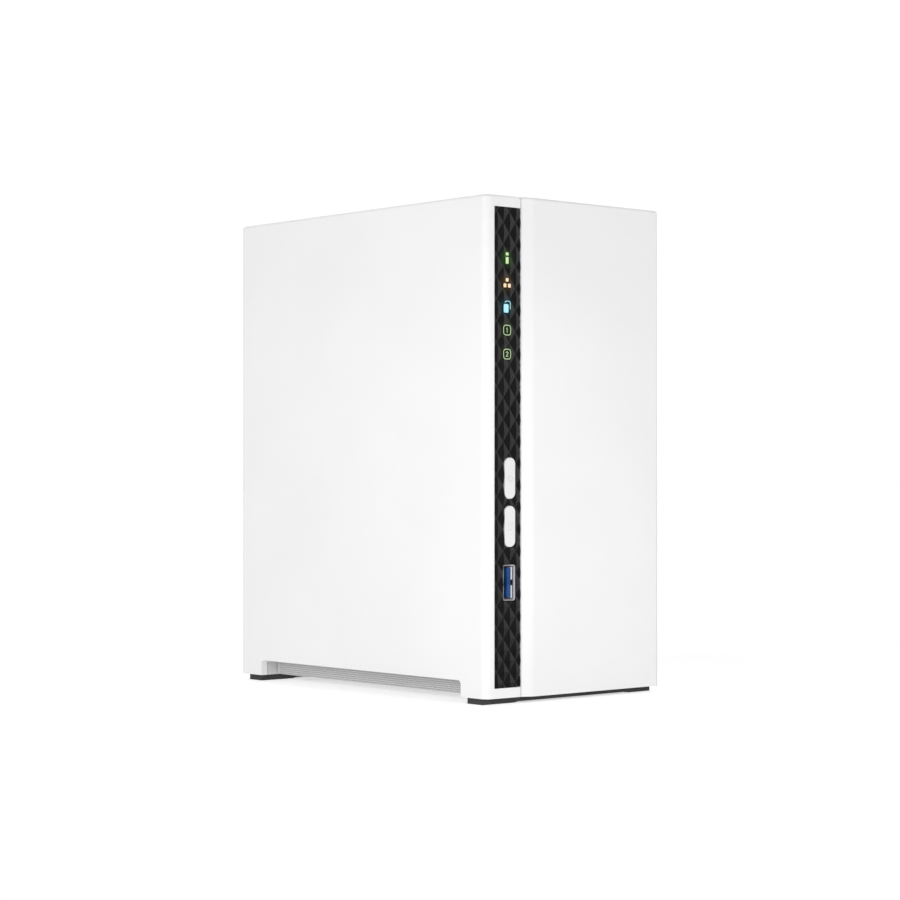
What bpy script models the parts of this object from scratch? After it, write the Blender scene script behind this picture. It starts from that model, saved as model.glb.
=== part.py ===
"""Two-bay desktop network attached storage, modelled as it comes apart on a bench.

Run with: blender --background --python part.py, or from Blender's text editor.
Blender works in metres; every size below is in millimetres and is scaled by MM where it meets bpy.
The front faces -Y, +X is the right-hand side seen from the front, and the origin is under the centre.
"""

import math

import bmesh
import bpy
from mathutils import Matrix, Vector

MM = 0.001

# ------------------------------------------------------------------ driving dimensions, millimetres

WIDTH, DEPTH, HEIGHT = 90.18, 156.26, 188.64
GAP = 0.3  # what two touching pieces keep between them
FOOT_HEIGHT = 2.3  # how far the feet lift the case
SCREW_PROUD = 1.1  # how far the cover screws stand out behind the shells

LEFT, RIGHT = -WIDTH / 2, WIDTH / 2
FRONT, BACK = -DEPTH / 2, DEPTH / 2
SHELL_BACK = BACK - SCREW_PROUD
TOP = HEIGHT

COVER_WALL = 2.2
HOUSING_WALL = 3.0
FACET_WALL = 2.8

# The narrow part of the front that carries the lights and buttons is set back, and turned a little to the
# left. The cover is bevelled down to meet it at the seam.
SEAM_X = -27.8
SEAM_SETBACK = 2.0
SEAM_GAP = 0.4
BEVEL_X, BEVEL_RADIUS = -23.4, 4.0
BEVEL_SLOPE = SEAM_SETBACK / (BEVEL_X - SEAM_X)
FACET_DEG = 1.5
FACET_SLOPE = math.tan(math.radians(FACET_DEG))
STRIP_WIDTH = 13.1
STRIP_LOW, STRIP_HIGH = 6.0, 184.4
POCKET_DEPTH = 1.8

# Diamonds on the strip: half their width and height, one centre, and how far they rise.
DIAMOND_X, DIAMOND_Z = 3.02, 4.07
DIAMOND_CENTRE = (-4.62, 121.8)
DIAMOND_LOW, DIAMOND_HIGH = 0.65, 0.15

# Upright corners of the shells.
CORNER_FRONT, CORNER_BACK_LEFT, CORNER_BACK_RIGHT = 3.0, 2.6, 1.8

# Side notches under the case, which take in air.
NOTCH_FRONT, NOTCH_BACK = FRONT + 16.4, FRONT + 140.6
NOTCH_TOP, NOTCH_CORNER = 8.5, 1.5
GRILLE_X = 35.7

BASE_HALF, BASE_TOP, BASE_FLOOR = 41.8, 10.5, 3.9

# Foot strips: left and right ends, and (front edge, back edge) of each. They are sunk into the base and the
# left shell, and only pass under the cover, which slides.
FOOT_X, FOOT_SUNK_END = (LEFT + 0.8, RIGHT - 0.8), 41.5
FOOT_SUNK = 0.6
FOOT_PADS, FOOT_RELIEF = (16.0, 12.0), 0.35
FOOT_Y = {"front_foot": (FRONT + 5.1, FRONT + 13.5), "rear_foot": (63.3, 71.5)}

# Pieces on the facet, in its own frame: across, and height.
BUTTON_X, BUTTON_WIDTH, BUTTON_HEIGHT, BUTTON_CORNER = 1.3, 5.1, 15.3, 2.3
BUTTON_HEIGHTS = {"power": 83.8, "copy": 65.9}
USB3_X, USB3_Z, USB3_WIDTH, USB3_HEIGHT = 1.25, 45.0, 5.8, 13.2
USB3_TONGUE_X, USB3_TONGUE_HALF = (USB3_X - 0.8, USB3_X + 1.1), 5.5
LIGHT_X = 0.1
LIGHT_HEIGHTS = {"status": 165.4, "network": 156.1, "usb": 147.2, "disk_1": 138.7, "disk_2": 129.8}
FRONT_BOARD_Y = 14.0

# Rear panel and what shows in it.
PANEL_THICK = 2.2
PANEL_FRONT = SHELL_BACK - 0.3 - PANEL_THICK
PANEL_BACK = PANEL_FRONT + PANEL_THICK
PANEL_X = (LEFT + HOUSING_WALL + GAP, RIGHT - COVER_WALL - GAP)
PANEL_Z = (FOOT_HEIGHT + GAP, TOP - COVER_WALL - GAP)
FAN_SIZE, FAN_THICK, FAN_Z = 80.0, 25.0, 120.0
FAN_BACK = PANEL_FRONT - GAP
FAN_FRONT = FAN_BACK - FAN_THICK
FAN_DUCT, FAN_HOLES, FAN_HUB = 38.0, 71.5, 15.0
COVER_SCREW_Z, COVER_SCREWS = 176.0, {"right": 37.6, "left": -18.0}

# Mainboard, upright beside the left wall, its parts facing right.
BOARD_X, BOARD_THICK = -40.2, 1.6
BOARD_FACE = BOARD_X + BOARD_THICK
BOARD_Y, BOARD_Z = (-40.0, 71.8), (16.0, 77.0)
BOARD_BOSS = 3.0
BOARD_HOLES = [(-34.0, 22.0), (-34.0, 71.0), (40.0, 22.0), (40.0, 71.0)]
LAN_Z, USB2_Z, DC_Z, RESET_Z = 61.5, 42.0, 24.5, 73.3
PORT_FRONT, PORT_BACK = BOARD_FACE + GAP, PANEL_BACK + 0.2
LAN_X, USB2_X = (PORT_FRONT, PORT_FRONT + 13.4), (PORT_FRONT, PORT_FRONT + 15.0)
DC_X, RESET_X = PORT_FRONT + 5.0, PORT_FRONT + 3.6

# Drives stand on their connectors between two sheet walls.
DRIVE_THICK, DRIVE_WIDTH, DRIVE_LENGTH = 26.1, 101.6, 147.0
CAGE_SHEET = 1.0
CAGE_X = (-16.3, 40.9)
CAGE_FLOOR = 21.9
CAGE_TOP = 160.0
DRIVE_Y = (-56.0, -56.0 + DRIVE_WIDTH)
DRIVE_Z = CAGE_FLOOR + CAGE_SHEET + GAP
DRIVE_HOLES_Y = (DRIVE_Y[0] + 3.2, DRIVE_Y[1] - 3.2)
DRIVE_HOLES_Z = (DRIVE_Z + 41.3, DRIVE_Z + 117.5)
BACKPLANE_Z, BACKPLANE_THICK = 11.0, 1.6
SATA_IN = 6.0  # from the board side of a drive to the middle of its connector
CAGE_BOSS, BACKPLANE_PEG = 3.2, 2.4
CAGE_BOSSES = [(x, y) for x in (-11.0, 31.0) for y in (-60.0, 51.0)]
BACKPLANE_PEGS = [(x, y) for x in (-8.0, 32.5) for y in (-46.0, 36.0)]


# ------------------------------------------------------------------ scene, materials

for old in list(bpy.data.objects):
    bpy.data.objects.remove(old)


def collection(name):
    made = bpy.data.collections.new(name)
    bpy.context.scene.collection.children.link(made)
    return made


PARTS = collection("network_storage")
TOOLS = collection("cutters")


def material(name, colour, roughness, metallic=0.0):
    made = bpy.data.materials.new(name)
    made.use_nodes = True
    shader = made.node_tree.nodes["Principled BSDF"]
    shader.inputs["Base Color"].default_value = (*colour, 1)
    shader.inputs["Roughness"].default_value = roughness
    shader.inputs["Metallic"].default_value = metallic
    return made


WHITE = material("white_plastic", (0.88, 0.88, 0.88), 0.35)
BLACK = material("black_gloss", (0.015, 0.015, 0.017), 0.2)
DARK = material("black_plastic", (0.03, 0.03, 0.03), 0.5)
RUBBER = material("rubber", (0.03, 0.03, 0.032), 0.85)
STEEL = material("steel", (0.62, 0.63, 0.65), 0.35, 1.0)
ALUMINIUM = material("aluminium", (0.7, 0.7, 0.72), 0.45, 1.0)
BRASS = material("brass", (0.75, 0.56, 0.28), 0.3, 1.0)
BOARD = material("circuit_board", (0.03, 0.2, 0.09), 0.4)
BLUE = material("blue_plastic", (0.03, 0.16, 0.5), 0.35)
CLEAR = material("clear_plastic", (0.85, 0.9, 0.92), 0.1)
COPPER = material("copper", (0.72, 0.36, 0.2), 0.35, 1.0)


# ------------------------------------------------------------------ modelling helpers

def add(name, bm_or_mesh, made_of=None, parent=None):
    """A named object. Without a material it is a helper that cuts or joins, left out of the model."""
    mesh = bm_or_mesh
    if isinstance(bm_or_mesh, bmesh.types.BMesh):
        mesh = bpy.data.meshes.new(name)
        bm_or_mesh.to_mesh(mesh)
        bm_or_mesh.free()
    obj = bpy.data.objects.new(name, mesh)
    if made_of:
        mesh.materials.append(made_of)
        PARTS.objects.link(obj)
    else:
        TOOLS.objects.link(obj)
        obj.hide_render = True
        obj.display_type = "WIRE"
    obj.parent = parent
    return obj


def settle(obj, at=None):
    """Moves an object's origin to a point, or to the middle of its shape, and leaves the shape in place."""
    corners = [Vector(c) for c in obj.bound_box]
    middle = Vector(at) * MM if at else sum(corners, Vector()) / len(corners)
    obj.data.transform(Matrix.Translation(-middle))
    obj.location = middle
    return obj


def box_into(bm, low, high):
    low, high = Vector(low) * MM, Vector(high) * MM
    matrix = Matrix.Translation((low + high) / 2) @ Matrix.Diagonal((*(high - low), 1))
    bmesh.ops.create_cube(bm, size=1, matrix=matrix)


def rod_into(bm, base, axis, length, radius, tip_radius=None, sides=16):
    """A cylinder, or a cone with a tip radius, from the middle of its base along an axis."""
    axis = Vector(axis).normalized()
    turn = axis.to_track_quat("Z", "Y").to_matrix().to_4x4()
    middle = Matrix.Translation((Vector(base) + axis * length / 2) * MM)
    bmesh.ops.create_cone(
        bm, cap_ends=True, segments=sides, depth=length * MM, matrix=middle @ turn,
        radius1=radius * MM, radius2=(radius if tip_radius is None else tip_radius) * MM)


def boxes(name, pairs, made_of=None, parent=None):
    """One object of boxes that don't touch each other, each given by two corners."""
    bm = bmesh.new()
    for low, high in pairs:
        box_into(bm, low, high)
    return settle(add(name, bm, made_of, parent))


def rods(name, rows, made_of=None, parent=None, sides=16):
    """One object of cylinders, each given by base, axis, length and radius."""
    bm = bmesh.new()
    for base, axis, length, radius in rows:
        rod_into(bm, base, axis, length, radius, sides=sides)
    obj = settle(add(name, bm, made_of, parent))
    return smooth(obj)


def smooth(obj):
    obj.data.shade_smooth()
    obj.data.set_sharp_from_angle(angle=math.radians(35))
    return obj


def boolean(obj, tool, operation):
    step = obj.modifiers.new(tool.name, "BOOLEAN")
    step.operation = operation
    step.object = tool
    return obj


def cut(obj, *tools):
    for tool in tools:
        boolean(obj, tool, "DIFFERENCE")
    return obj


def join(obj, *tools):
    for tool in tools:
        boolean(obj, tool, "UNION")
    return obj


def rounded(corners, degrees=15):
    """An outline from (x, y, radius) corners, with each radius as an arc."""
    points = []
    for i, (x, y, radius) in enumerate(corners):
        here = Vector((x, y))
        if not radius:
            points.append((x, y))
            continue
        to_last = (Vector(corners[i - 1][:2]) - here).normalized()
        to_next = (Vector(corners[(i + 1) % len(corners)][:2]) - here).normalized()
        half = to_last.angle(to_next) / 2
        centre = here + (to_last + to_next).normalized() * (radius / math.sin(half))
        start = here + to_last * (radius / math.tan(half)) - centre
        end = here + to_next * (radius / math.tan(half)) - centre
        turn = math.atan2(start.x * end.y - start.y * end.x, start.dot(end))
        steps = max(2, math.ceil(abs(turn) / math.radians(degrees)))
        for k in range(steps + 1):
            spoke = Matrix.Rotation(turn * k / steps, 2) @ start
            points.append(tuple(centre + spoke))
    return points


def rounded_box(x, y, width, height, radius, degrees=30):
    """The outline of a rectangle with round corners, about its middle."""
    w, h = width / 2, height / 2
    corners = [(x - w, y - h, radius), (x + w, y - h, radius), (x + w, y + h, radius), (x - w, y + h, radius)]
    return rounded(corners, degrees)


def ring(x, y, radius, sides, first_deg=0.0):
    """The outline of a circle or a regular polygon."""
    turns = [math.radians(first_deg + 360 * k / sides) for k in range(sides)]
    return [(x + radius * math.cos(a), y + radius * math.sin(a)) for a in turns]


# A plate is drawn in its own XY plane. These turns stand it square to X (drawn as Y, Z), to Y (drawn as X, Z)
# or to Z.
PLATE_TURNS = {"X": (math.pi / 2, 0, math.pi / 2), "Y": (math.pi / 2, 0, 0), "Z": (0, 0, 0)}


def plate(name, outline, axis, low, high, made_of=None, parent=None, holes=()):
    """A flat outline with holes, given thickness between two places along an axis."""
    curve = bpy.data.curves.new(name, "CURVE")
    curve.dimensions = "2D"
    curve.fill_mode = "BOTH"
    curve.extrude = (high - low) / 2 * MM
    for points in (outline, *holes):
        spline = curve.splines.new("POLY")
        spline.points.add(len(points) - 1)
        for point, (x, y) in zip(spline.points, points):
            point.co = (x * MM, y * MM, 0, 1)
        spline.use_cyclic_u = True
    drawn = bpy.data.objects.new(name + "_outline", curve)
    TOOLS.objects.link(drawn)
    graph = bpy.context.evaluated_depsgraph_get()
    mesh = bpy.data.meshes.new_from_object(drawn.evaluated_get(graph))
    bpy.data.objects.remove(drawn)
    bm = bmesh.new()
    bm.from_mesh(mesh)
    bmesh.ops.remove_doubles(bm, verts=bm.verts, dist=1e-7)
    bmesh.ops.recalc_face_normals(bm, faces=bm.faces)
    obj = add(name, bm, made_of, parent)
    obj.rotation_euler = PLATE_TURNS[axis]
    obj.location["XYZ".index(axis)] = (low + high) / 2 * MM
    return smooth(obj)


def tube(name, points, radius, made_of):
    """A round wire through its points."""
    curve = bpy.data.curves.new(name, "CURVE")
    curve.dimensions = "3D"
    curve.bevel_depth = radius * MM
    curve.bevel_resolution = 2
    curve.use_fill_caps = True
    spline = curve.splines.new("POLY")
    spline.points.add(len(points) - 1)
    for point, place in zip(spline.points, points):
        point.co = (*(Vector(place) * MM), 1)
    obj = bpy.data.objects.new(name, curve)
    curve.materials.append(made_of)
    PARTS.objects.link(obj)
    return obj


def through(points, per_span):
    """Points on a smooth curve through the given ones, by Catmull-Rom spans."""
    p = [Vector(points[0]), *map(Vector, points), Vector(points[-1])]
    found = []
    for a, b, c, d in zip(p, p[1:], p[2:], p[3:]):
        for k in range(per_span):
            t = k / per_span
            found.append(0.5 * (2 * b + (c - a) * t + (2 * a - 5 * b + 4 * c - d) * t**2
                                + (3 * b - a - 3 * c + d) * t**3))
    return found + [p[-1]]


# The facet's frame: x along it to the right, y into the case, z up. Its origin is on its surface, under the
# strip's middle.
FACET = bpy.data.objects.new("front_facet", None)
FACET.location = Vector((SEAM_X - STRIP_WIDTH / 2 * math.cos(math.radians(FACET_DEG)),
                         FRONT + SEAM_SETBACK + STRIP_WIDTH / 2 * math.sin(math.radians(FACET_DEG)), 0)) * MM
FACET.rotation_euler.z = -math.radians(FACET_DEG)
PARTS.objects.link(FACET)
bpy.context.view_layer.update()


def facet_line(x, inset=0.0):
    """The facet surface's Y at an X, moved inwards by an inset square to it."""
    setback = (SEAM_X - x) * FACET_SLOPE + inset / math.cos(math.radians(FACET_DEG))
    return FRONT + SEAM_SETBACK + setback


# ------------------------------------------------------------------ outer shells

def round_top_edges(obj, edge_inset=0.02, radius=1.2, segments=3):
    """Rounds the outer top edges of a shell's block. Its sides at the seam and the back stay square."""
    bm = bmesh.new()
    bm.from_mesh(obj.data)
    top = max(v.co.z for v in bm.verts)
    seam = SEAM_X * MM
    edges = []
    for edge in bm.edges:
        ends = [v.co for v in edge.verts]
        on_top = all(abs(c.z - top) < 1e-6 for c in ends)
        on_seam = all(abs(c.x - seam) < 0.5 * MM for c in ends)
        on_back = all(c.y > (SHELL_BACK - edge_inset) * MM for c in ends)
        inside_face = len(edge.link_faces) == 2 and edge.calc_face_angle(0) < math.radians(60)
        if on_top and not on_seam and not on_back and not inside_face:
            edges.append(edge)
    bmesh.ops.bevel(bm, geom=edges, offset=radius * MM, segments=segments, profile=0.5, affect="EDGES")
    bm.to_mesh(obj.data)
    bm.free()


def shell_block(name, outline, made_of):
    """The solid block that a shell is hollowed from."""
    obj = plate(name, outline, "Z", FOOT_HEIGHT, TOP, made_of)
    obj.data.transform(Matrix.Translation(obj.location))
    obj.location = (0, 0, 0)
    round_top_edges(obj)
    return smooth(obj)


def notch_cutter(side):
    """The long low notch in a shell's bottom edge, with round top corners."""
    ends = sorted((39.0 * side, 50.0 * side))
    outline = rounded([(NOTCH_FRONT, FOOT_HEIGHT - 5, 0), (NOTCH_BACK, FOOT_HEIGHT - 5, 0),
                       (NOTCH_BACK, NOTCH_TOP, NOTCH_CORNER), (NOTCH_FRONT, NOTCH_TOP, NOTCH_CORNER)])
    return plate(f"notch_{'left' if side < 0 else 'right'}", outline, "X", *ends)


def left_housing():
    edge = SEAM_X - SEAM_GAP / 2
    outline = rounded([(LEFT, SHELL_BACK, CORNER_BACK_LEFT), (LEFT, facet_line(LEFT), CORNER_FRONT),
                       (edge, facet_line(edge), 0), (edge, SHELL_BACK, 0)])
    housing = shell_block("left_housing", outline, WHITE)
    inner_left = LEFT + HOUSING_WALL
    hollow = plate("left_housing_hollow", [
        (inner_left, SHELL_BACK + 10), (inner_left, facet_line(inner_left, FACET_WALL)),
        (SEAM_X + 10, facet_line(SEAM_X + 10, FACET_WALL)), (SEAM_X + 10, SHELL_BACK + 10)],
        "Z", FOOT_HEIGHT - 10, TOP - COVER_WALL)
    pocket = boxes("bezel_pocket", [((-STRIP_WIDTH / 2, -2, STRIP_LOW),
                                     (STRIP_WIDTH, POCKET_DEPTH, STRIP_HIGH))], parent=FACET)
    # Two ledges, each with its root, pass behind the cover's edge and close the seam.
    under, behind = TOP - COVER_WALL - GAP, FRONT + SEAM_SETBACK + COVER_WALL + 2 * GAP
    reach = SEAM_X + 3
    ledges = [((SEAM_X - 4, behind + 1, under - 1.6), (reach, PANEL_FRONT - GAP, under)),
              ((SEAM_X - 1.0, behind, BASE_TOP + GAP), (reach, behind + 1.6, under - 0.8))]
    roots = [((SEAM_X - 4, behind + 1, under - 1.6), (edge, PANEL_FRONT - GAP, TOP - 1)),
             ((SEAM_X - 1.0, behind - 1.6, BASE_TOP + GAP), (edge, behind + 1.6, under - 0.8))]
    ribs = [boxes(f"seam_rib_{number}", [ends]) for number, ends in enumerate(ledges + roots)]
    boss_length = BOARD_X - GAP - inner_left + 1
    bosses = rods("mainboard_bosses", [((inner_left - 1, y, z), (1, 0, 0), boss_length, BOARD_BOSS)
                                       for y, z in BOARD_HOLES], sides=12)
    cut(housing, hollow)
    join(housing, *ribs, bosses)
    cut(housing, pocket, notch_cutter(-1), foot_recesses(), *facet_openings())
    return housing


def facet_openings():
    """What the wall behind the bezel leaves open for buttons, light pipes and the USB socket."""
    y = (POCKET_DEPTH - 1, FACET_WALL + 3)
    wide, high = BUTTON_WIDTH / 2 + 0.4, BUTTON_HEIGHT / 2 + 0.4
    buttons = [((BUTTON_X - wide, y[0], z - high), (BUTTON_X + wide, y[1], z + high))
               for z in BUTTON_HEIGHTS.values()]
    socket = [((USB3_X - USB3_WIDTH / 2 - 0.4, y[0], USB3_Z - USB3_HEIGHT / 2 - 0.4),
               (USB3_X + USB3_WIDTH / 2 + 0.4, y[1], USB3_Z + USB3_HEIGHT / 2 + 0.4))]
    pipes = [((LIGHT_X - 2.0, y[0], z - 2.3), (LIGHT_X + 2.0, y[1], z + 2.3)) for z in LIGHT_HEIGHTS.values()]
    return [boxes("facet_openings", buttons + socket + pipes, parent=FACET)]


def side_cover():
    edge = SEAM_X + SEAM_GAP / 2
    outline = rounded([(edge, facet_line(edge), 0), (BEVEL_X, FRONT, BEVEL_RADIUS),
                       (RIGHT, FRONT, CORNER_FRONT), (RIGHT, SHELL_BACK, CORNER_BACK_RIGHT),
                       (edge, SHELL_BACK, 0)])
    cover = shell_block("side_cover", outline, WHITE)
    inside, reach = FRONT + COVER_WALL, 10
    hollow = plate("side_cover_hollow", [
        (BEVEL_X, inside), (RIGHT - COVER_WALL, inside), (RIGHT - COVER_WALL, SHELL_BACK + reach),
        (BEVEL_X - reach, SHELL_BACK + reach), (BEVEL_X - reach, inside + reach * BEVEL_SLOPE)],
        "Z", FOOT_HEIGHT - reach, TOP - COVER_WALL)
    # A rib that rests on the base's rim, and the two blocks that the cover screws hold.
    rib = boxes("cover_rib", [((RIGHT - COVER_WALL - 3.0, FRONT + 6, BASE_TOP + GAP),
                               (RIGHT - COVER_WALL + 1, SHELL_BACK - 14, BASE_TOP + GAP + 1.8))])
    blocks = boxes("cover_screw_blocks", [((x - 4, PANEL_FRONT - GAP - 10, COVER_SCREW_Z - 4),
                                           (x + 4, PANEL_FRONT - GAP, TOP - COVER_WALL + 1))
                                          for x in COVER_SCREWS.values()])
    holes = rods("cover_screw_holes", [((x, PANEL_FRONT + 5, COVER_SCREW_Z), (0, -1, 0), 30, 1.9)
                                       for x in COVER_SCREWS.values()], sides=12)
    cut(cover, hollow)
    join(cover, rib, blocks)
    cut(cover, holes, notch_cutter(1))
    return cover


def base_tray():
    front, back = FRONT + COVER_WALL + GAP, PANEL_FRONT - GAP
    outline = rounded_box(0, (front + back) / 2, 2 * BASE_HALF, back - front, 1.5)
    tray = plate("base_tray", outline, "Z", FOOT_HEIGHT, BASE_TOP, WHITE)
    # The corner beside the facet is taken off, to stay inside the housing.
    corner = boxes("base_corner", [((-20, -8, FOOT_HEIGHT - 1),
                                    (STRIP_WIDTH, FACET_WALL + GAP, BASE_TOP + 1))], parent=FACET)
    inside = boxes("base_inside", [((-GRILLE_X + 2, FRONT + 7, BASE_FLOOR),
                                    (GRILLE_X - 2, PANEL_FRONT - 5, BASE_TOP + 1))])
    sides = boxes("base_sides", [((x0, NOTCH_FRONT, FOOT_HEIGHT - 1), (x1, NOTCH_BACK, NOTCH_TOP + GAP))
                                 for x0, x1 in ((-60, -GRILLE_X), (GRILLE_X, 60))])
    window_y, window_z = (NOTCH_FRONT + 4, NOTCH_BACK - 4), (BASE_FLOOR + 0.6, NOTCH_TOP - 0.4)
    windows = boxes("base_windows", [((x0, window_y[0], window_z[0]), (x1, window_y[1], window_z[1]))
                                     for x0, x1 in ((-GRILLE_X - 1, 3 - GRILLE_X),
                                                    (GRILLE_X - 3, GRILLE_X + 1))])
    vents = boxes("base_vents", [((x, y, FOOT_HEIGHT - 1), (x + 24, y + 3, BASE_FLOOR + 1))
                                 for x in (-30, 6) for y in range(-46, 52, 8)])
    root = BASE_FLOOR - 1
    bosses = rods("cage_bosses", [((x, y, root), (0, 0, 1), CAGE_FLOOR - GAP - root, CAGE_BOSS)
                                  for x, y in CAGE_BOSSES], sides=12)
    pegs = rods("backplane_pegs", [((x, y, root), (0, 0, 1), BACKPLANE_Z - GAP - root, BACKPLANE_PEG)
                                   for x, y in BACKPLANE_PEGS], sides=12)
    cut(tray, corner, inside, foot_recesses(), sides, windows, vents)
    join(tray, bosses, pegs)
    return tray


def foot_recesses():
    """Shallow beds for the foot strips, in the undersides of the base and the left shell."""
    x0, x1, rise = FOOT_X[0], FOOT_SUNK_END, FOOT_SUNK + GAP
    return boxes("foot_recesses", [((x0 - GAP, y0 - GAP, FOOT_HEIGHT - 1),
                                    (x1 + GAP, y1 + GAP, FOOT_HEIGHT + rise)) for y0, y1 in FOOT_Y.values()])


def feet():
    """A rubber strip across each end, a little thicker where its two pads meet the table."""
    (x0, x1), (left, right), slope = FOOT_X, FOOT_PADS, 2.0
    top, under_cover = FOOT_HEIGHT + FOOT_SUNK, FOOT_HEIGHT - GAP
    outline = [(x0, 0), (x0 + left, 0), (x0 + left + slope, FOOT_RELIEF),
               (x1 - right - slope, FOOT_RELIEF), (x1 - right, 0), (x1, 0), (x1, under_cover),
               (FOOT_SUNK_END, under_cover), (FOOT_SUNK_END, top), (x0, top)]
    for name, (y0, y1) in FOOT_Y.items():
        plate(name, outline, "Y", y0, y1, RUBBER)


def intake_grilles():
    """Perforated strips that stand in the side notches, over the windows of the base."""
    middle = (FOOT_HEIGHT + NOTCH_TOP) / 2
    pitch, radius = 2.8, 1.0
    count = int((NOTCH_BACK - NOTCH_FRONT - 10) / pitch)
    start = (NOTCH_FRONT + NOTCH_BACK - (count - 0.5) * pitch) / 2
    holes = [ring(start + (k + 0.5 * row) * pitch, middle + 1.25 * (2 * row - 1), radius, 6)
             for row in (0, 1) for k in range(count)]
    outline = rounded_box((NOTCH_FRONT + NOTCH_BACK) / 2, middle, NOTCH_BACK - NOTCH_FRONT - 2 * GAP,
                          NOTCH_TOP - FOOT_HEIGHT - 2 * GAP, 0.4, 90)
    for name, x in (("intake_grille_left", -GRILLE_X - GAP - 1.0), ("intake_grille_right", GRILLE_X + GAP)):
        plate(name, outline, "X", x, x + 1.0, WHITE, holes=holes)


# ------------------------------------------------------------------ rear panel

HEX_PITCH, HEX_RADIUS = 8.0, 3.95


def grille_hexagons():
    """Hexagons on a honeycomb that lie inside the fan's duct and clear of its screws."""
    found = []
    for row in range(-5, 6):
        for col in range(-5, 6):
            x = (col + 0.5 * (row % 2)) * HEX_PITCH
            z = row * HEX_PITCH * math.sqrt(3) / 2
            if math.hypot(x, z) < FAN_DUCT - HEX_RADIUS + 0.6:
                found.append(ring(x, FAN_Z + z, HEX_RADIUS, 6, 30))
    return found


def rear_panel():
    x0, x1 = PANEL_X
    z0, z1 = PANEL_Z
    outline = rounded([(x0, z0, 0.8), (x1, z0, 0.8), (x1, z1, 0.8), (x0, z1, 0.8)], 45)
    side, up = FAN_HOLES / 2, FAN_HOLES / 2
    screws = [ring(x, FAN_Z + z, 2.2, 12) for x in (-side, side) for z in (-up, up)]
    screws += [ring(x, COVER_SCREW_Z, 1.9, 12) for x in COVER_SCREWS.values()]
    ports = [rounded_box((LAN_X[0] + LAN_X[1]) / 2, LAN_Z, LAN_X[1] - LAN_X[0] + 0.8, 16.8, 0.4, 90),
             rounded_box((USB2_X[0] + USB2_X[1]) / 2, USB2_Z, USB2_X[1] - USB2_X[0] + 0.8, 14.0, 0.4, 90),
             ring(DC_X, DC_Z, 4.9, 16),
             ring(RESET_X, RESET_Z, 1.1, 10),
             rounded_box(30.0, 60.0, 3.2, 7.2, 1.0, 45)]
    vents = [rounded_box(x, 33.0, 2.6, 22.0, 1.2, 45) for x in (-12.0, -6.0, 0.0, 6.0, 12.0, 18.0, 24.0)]
    return plate("rear_panel", outline, "Y", PANEL_FRONT, PANEL_BACK, WHITE,
                 holes=screws + ports + vents + grille_hexagons())


def cover_screws():
    """Slotted thumb screws that pass the rear panel and hold the cover's blocks."""
    z = COVER_SCREW_Z
    for place, x in COVER_SCREWS.items():
        name = f"cover_screw_{place}"
        shank = rods(f"{name}_shank", [((x, PANEL_BACK + 1, z), (0, -1, 0), 10, 1.5)], sides=12)
        head = rods(name, [((x, PANEL_BACK + 0.1, z), (0, 1, 0), BACK - PANEL_BACK - 0.1, 3.6)],
                    STEEL, sides=20)
        slot = boxes(f"{name}_slot", [((x - 0.5, BACK - 0.6, z - 5), (x + 0.5, BACK + 1, z + 5))])
        join(head, shank)
        cut(head, slot)


# ------------------------------------------------------------------ front strip

def diamond_block():
    """A block that fronts the whole strip with low pyramids: grid points are peaks and valleys in turn."""
    columns, rows = range(-2, 6), range(-30, 18)
    x0, z0 = DIAMOND_CENTRE
    bm = bmesh.new()
    point = {}
    for i in columns:
        for j in rows:
            y = DIAMOND_LOW if (i + j) % 2 else DIAMOND_HIGH
            point[i, j] = bm.verts.new(Vector((x0 + i * DIAMOND_X, y, z0 + j * DIAMOND_Z)) * MM)
    for i in columns[:-1]:
        for j in rows[:-1]:
            ring_of_four = [point[i, j], point[i + 1, j], point[i + 1, j + 1], point[i, j + 1]]
            if (i + j) % 2:
                ring_of_four = ring_of_four[1:] + ring_of_four[:1]
            a, b, c, d = ring_of_four
            bm.faces.new((a, b, d))
            bm.faces.new((b, c, d))
    rim = [edge for edge in bm.edges if edge.is_boundary]
    walls = bmesh.ops.extrude_edge_only(bm, edges=rim)["geom"]
    for item in walls:
        if isinstance(item, bmesh.types.BMVert):
            item.co.y = 2 * POCKET_DEPTH * MM
    bmesh.ops.holes_fill(bm, edges=[edge for edge in bm.edges if edge.is_boundary])
    bmesh.ops.recalc_face_normals(bm, faces=bm.faces)
    return add("diamond_block", bm, parent=FACET)


def bezel_strip():
    half = STRIP_WIDTH / 2
    low, high = STRIP_LOW + 0.1, STRIP_HIGH - 0.1
    left, right = 0.1 - half, half
    outline = rounded([(left, low, 1.0), (right, low, 0), (right, high, 0), (left, high, 1.0)], 45)
    holes = [rounded_box(BUTTON_X, z, BUTTON_WIDTH + 0.6, BUTTON_HEIGHT + 0.6, BUTTON_CORNER + 0.2)
             for z in BUTTON_HEIGHTS.values()]
    holes.append(rounded_box(USB3_X, USB3_Z, USB3_WIDTH + 0.6, USB3_HEIGHT + 0.6, 0.4, 90))
    strip = plate("bezel_strip", outline, "Y", 0, POCKET_DEPTH - GAP, BLACK, FACET, holes)
    return boolean(strip, diamond_block(), "INTERSECT")


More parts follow.
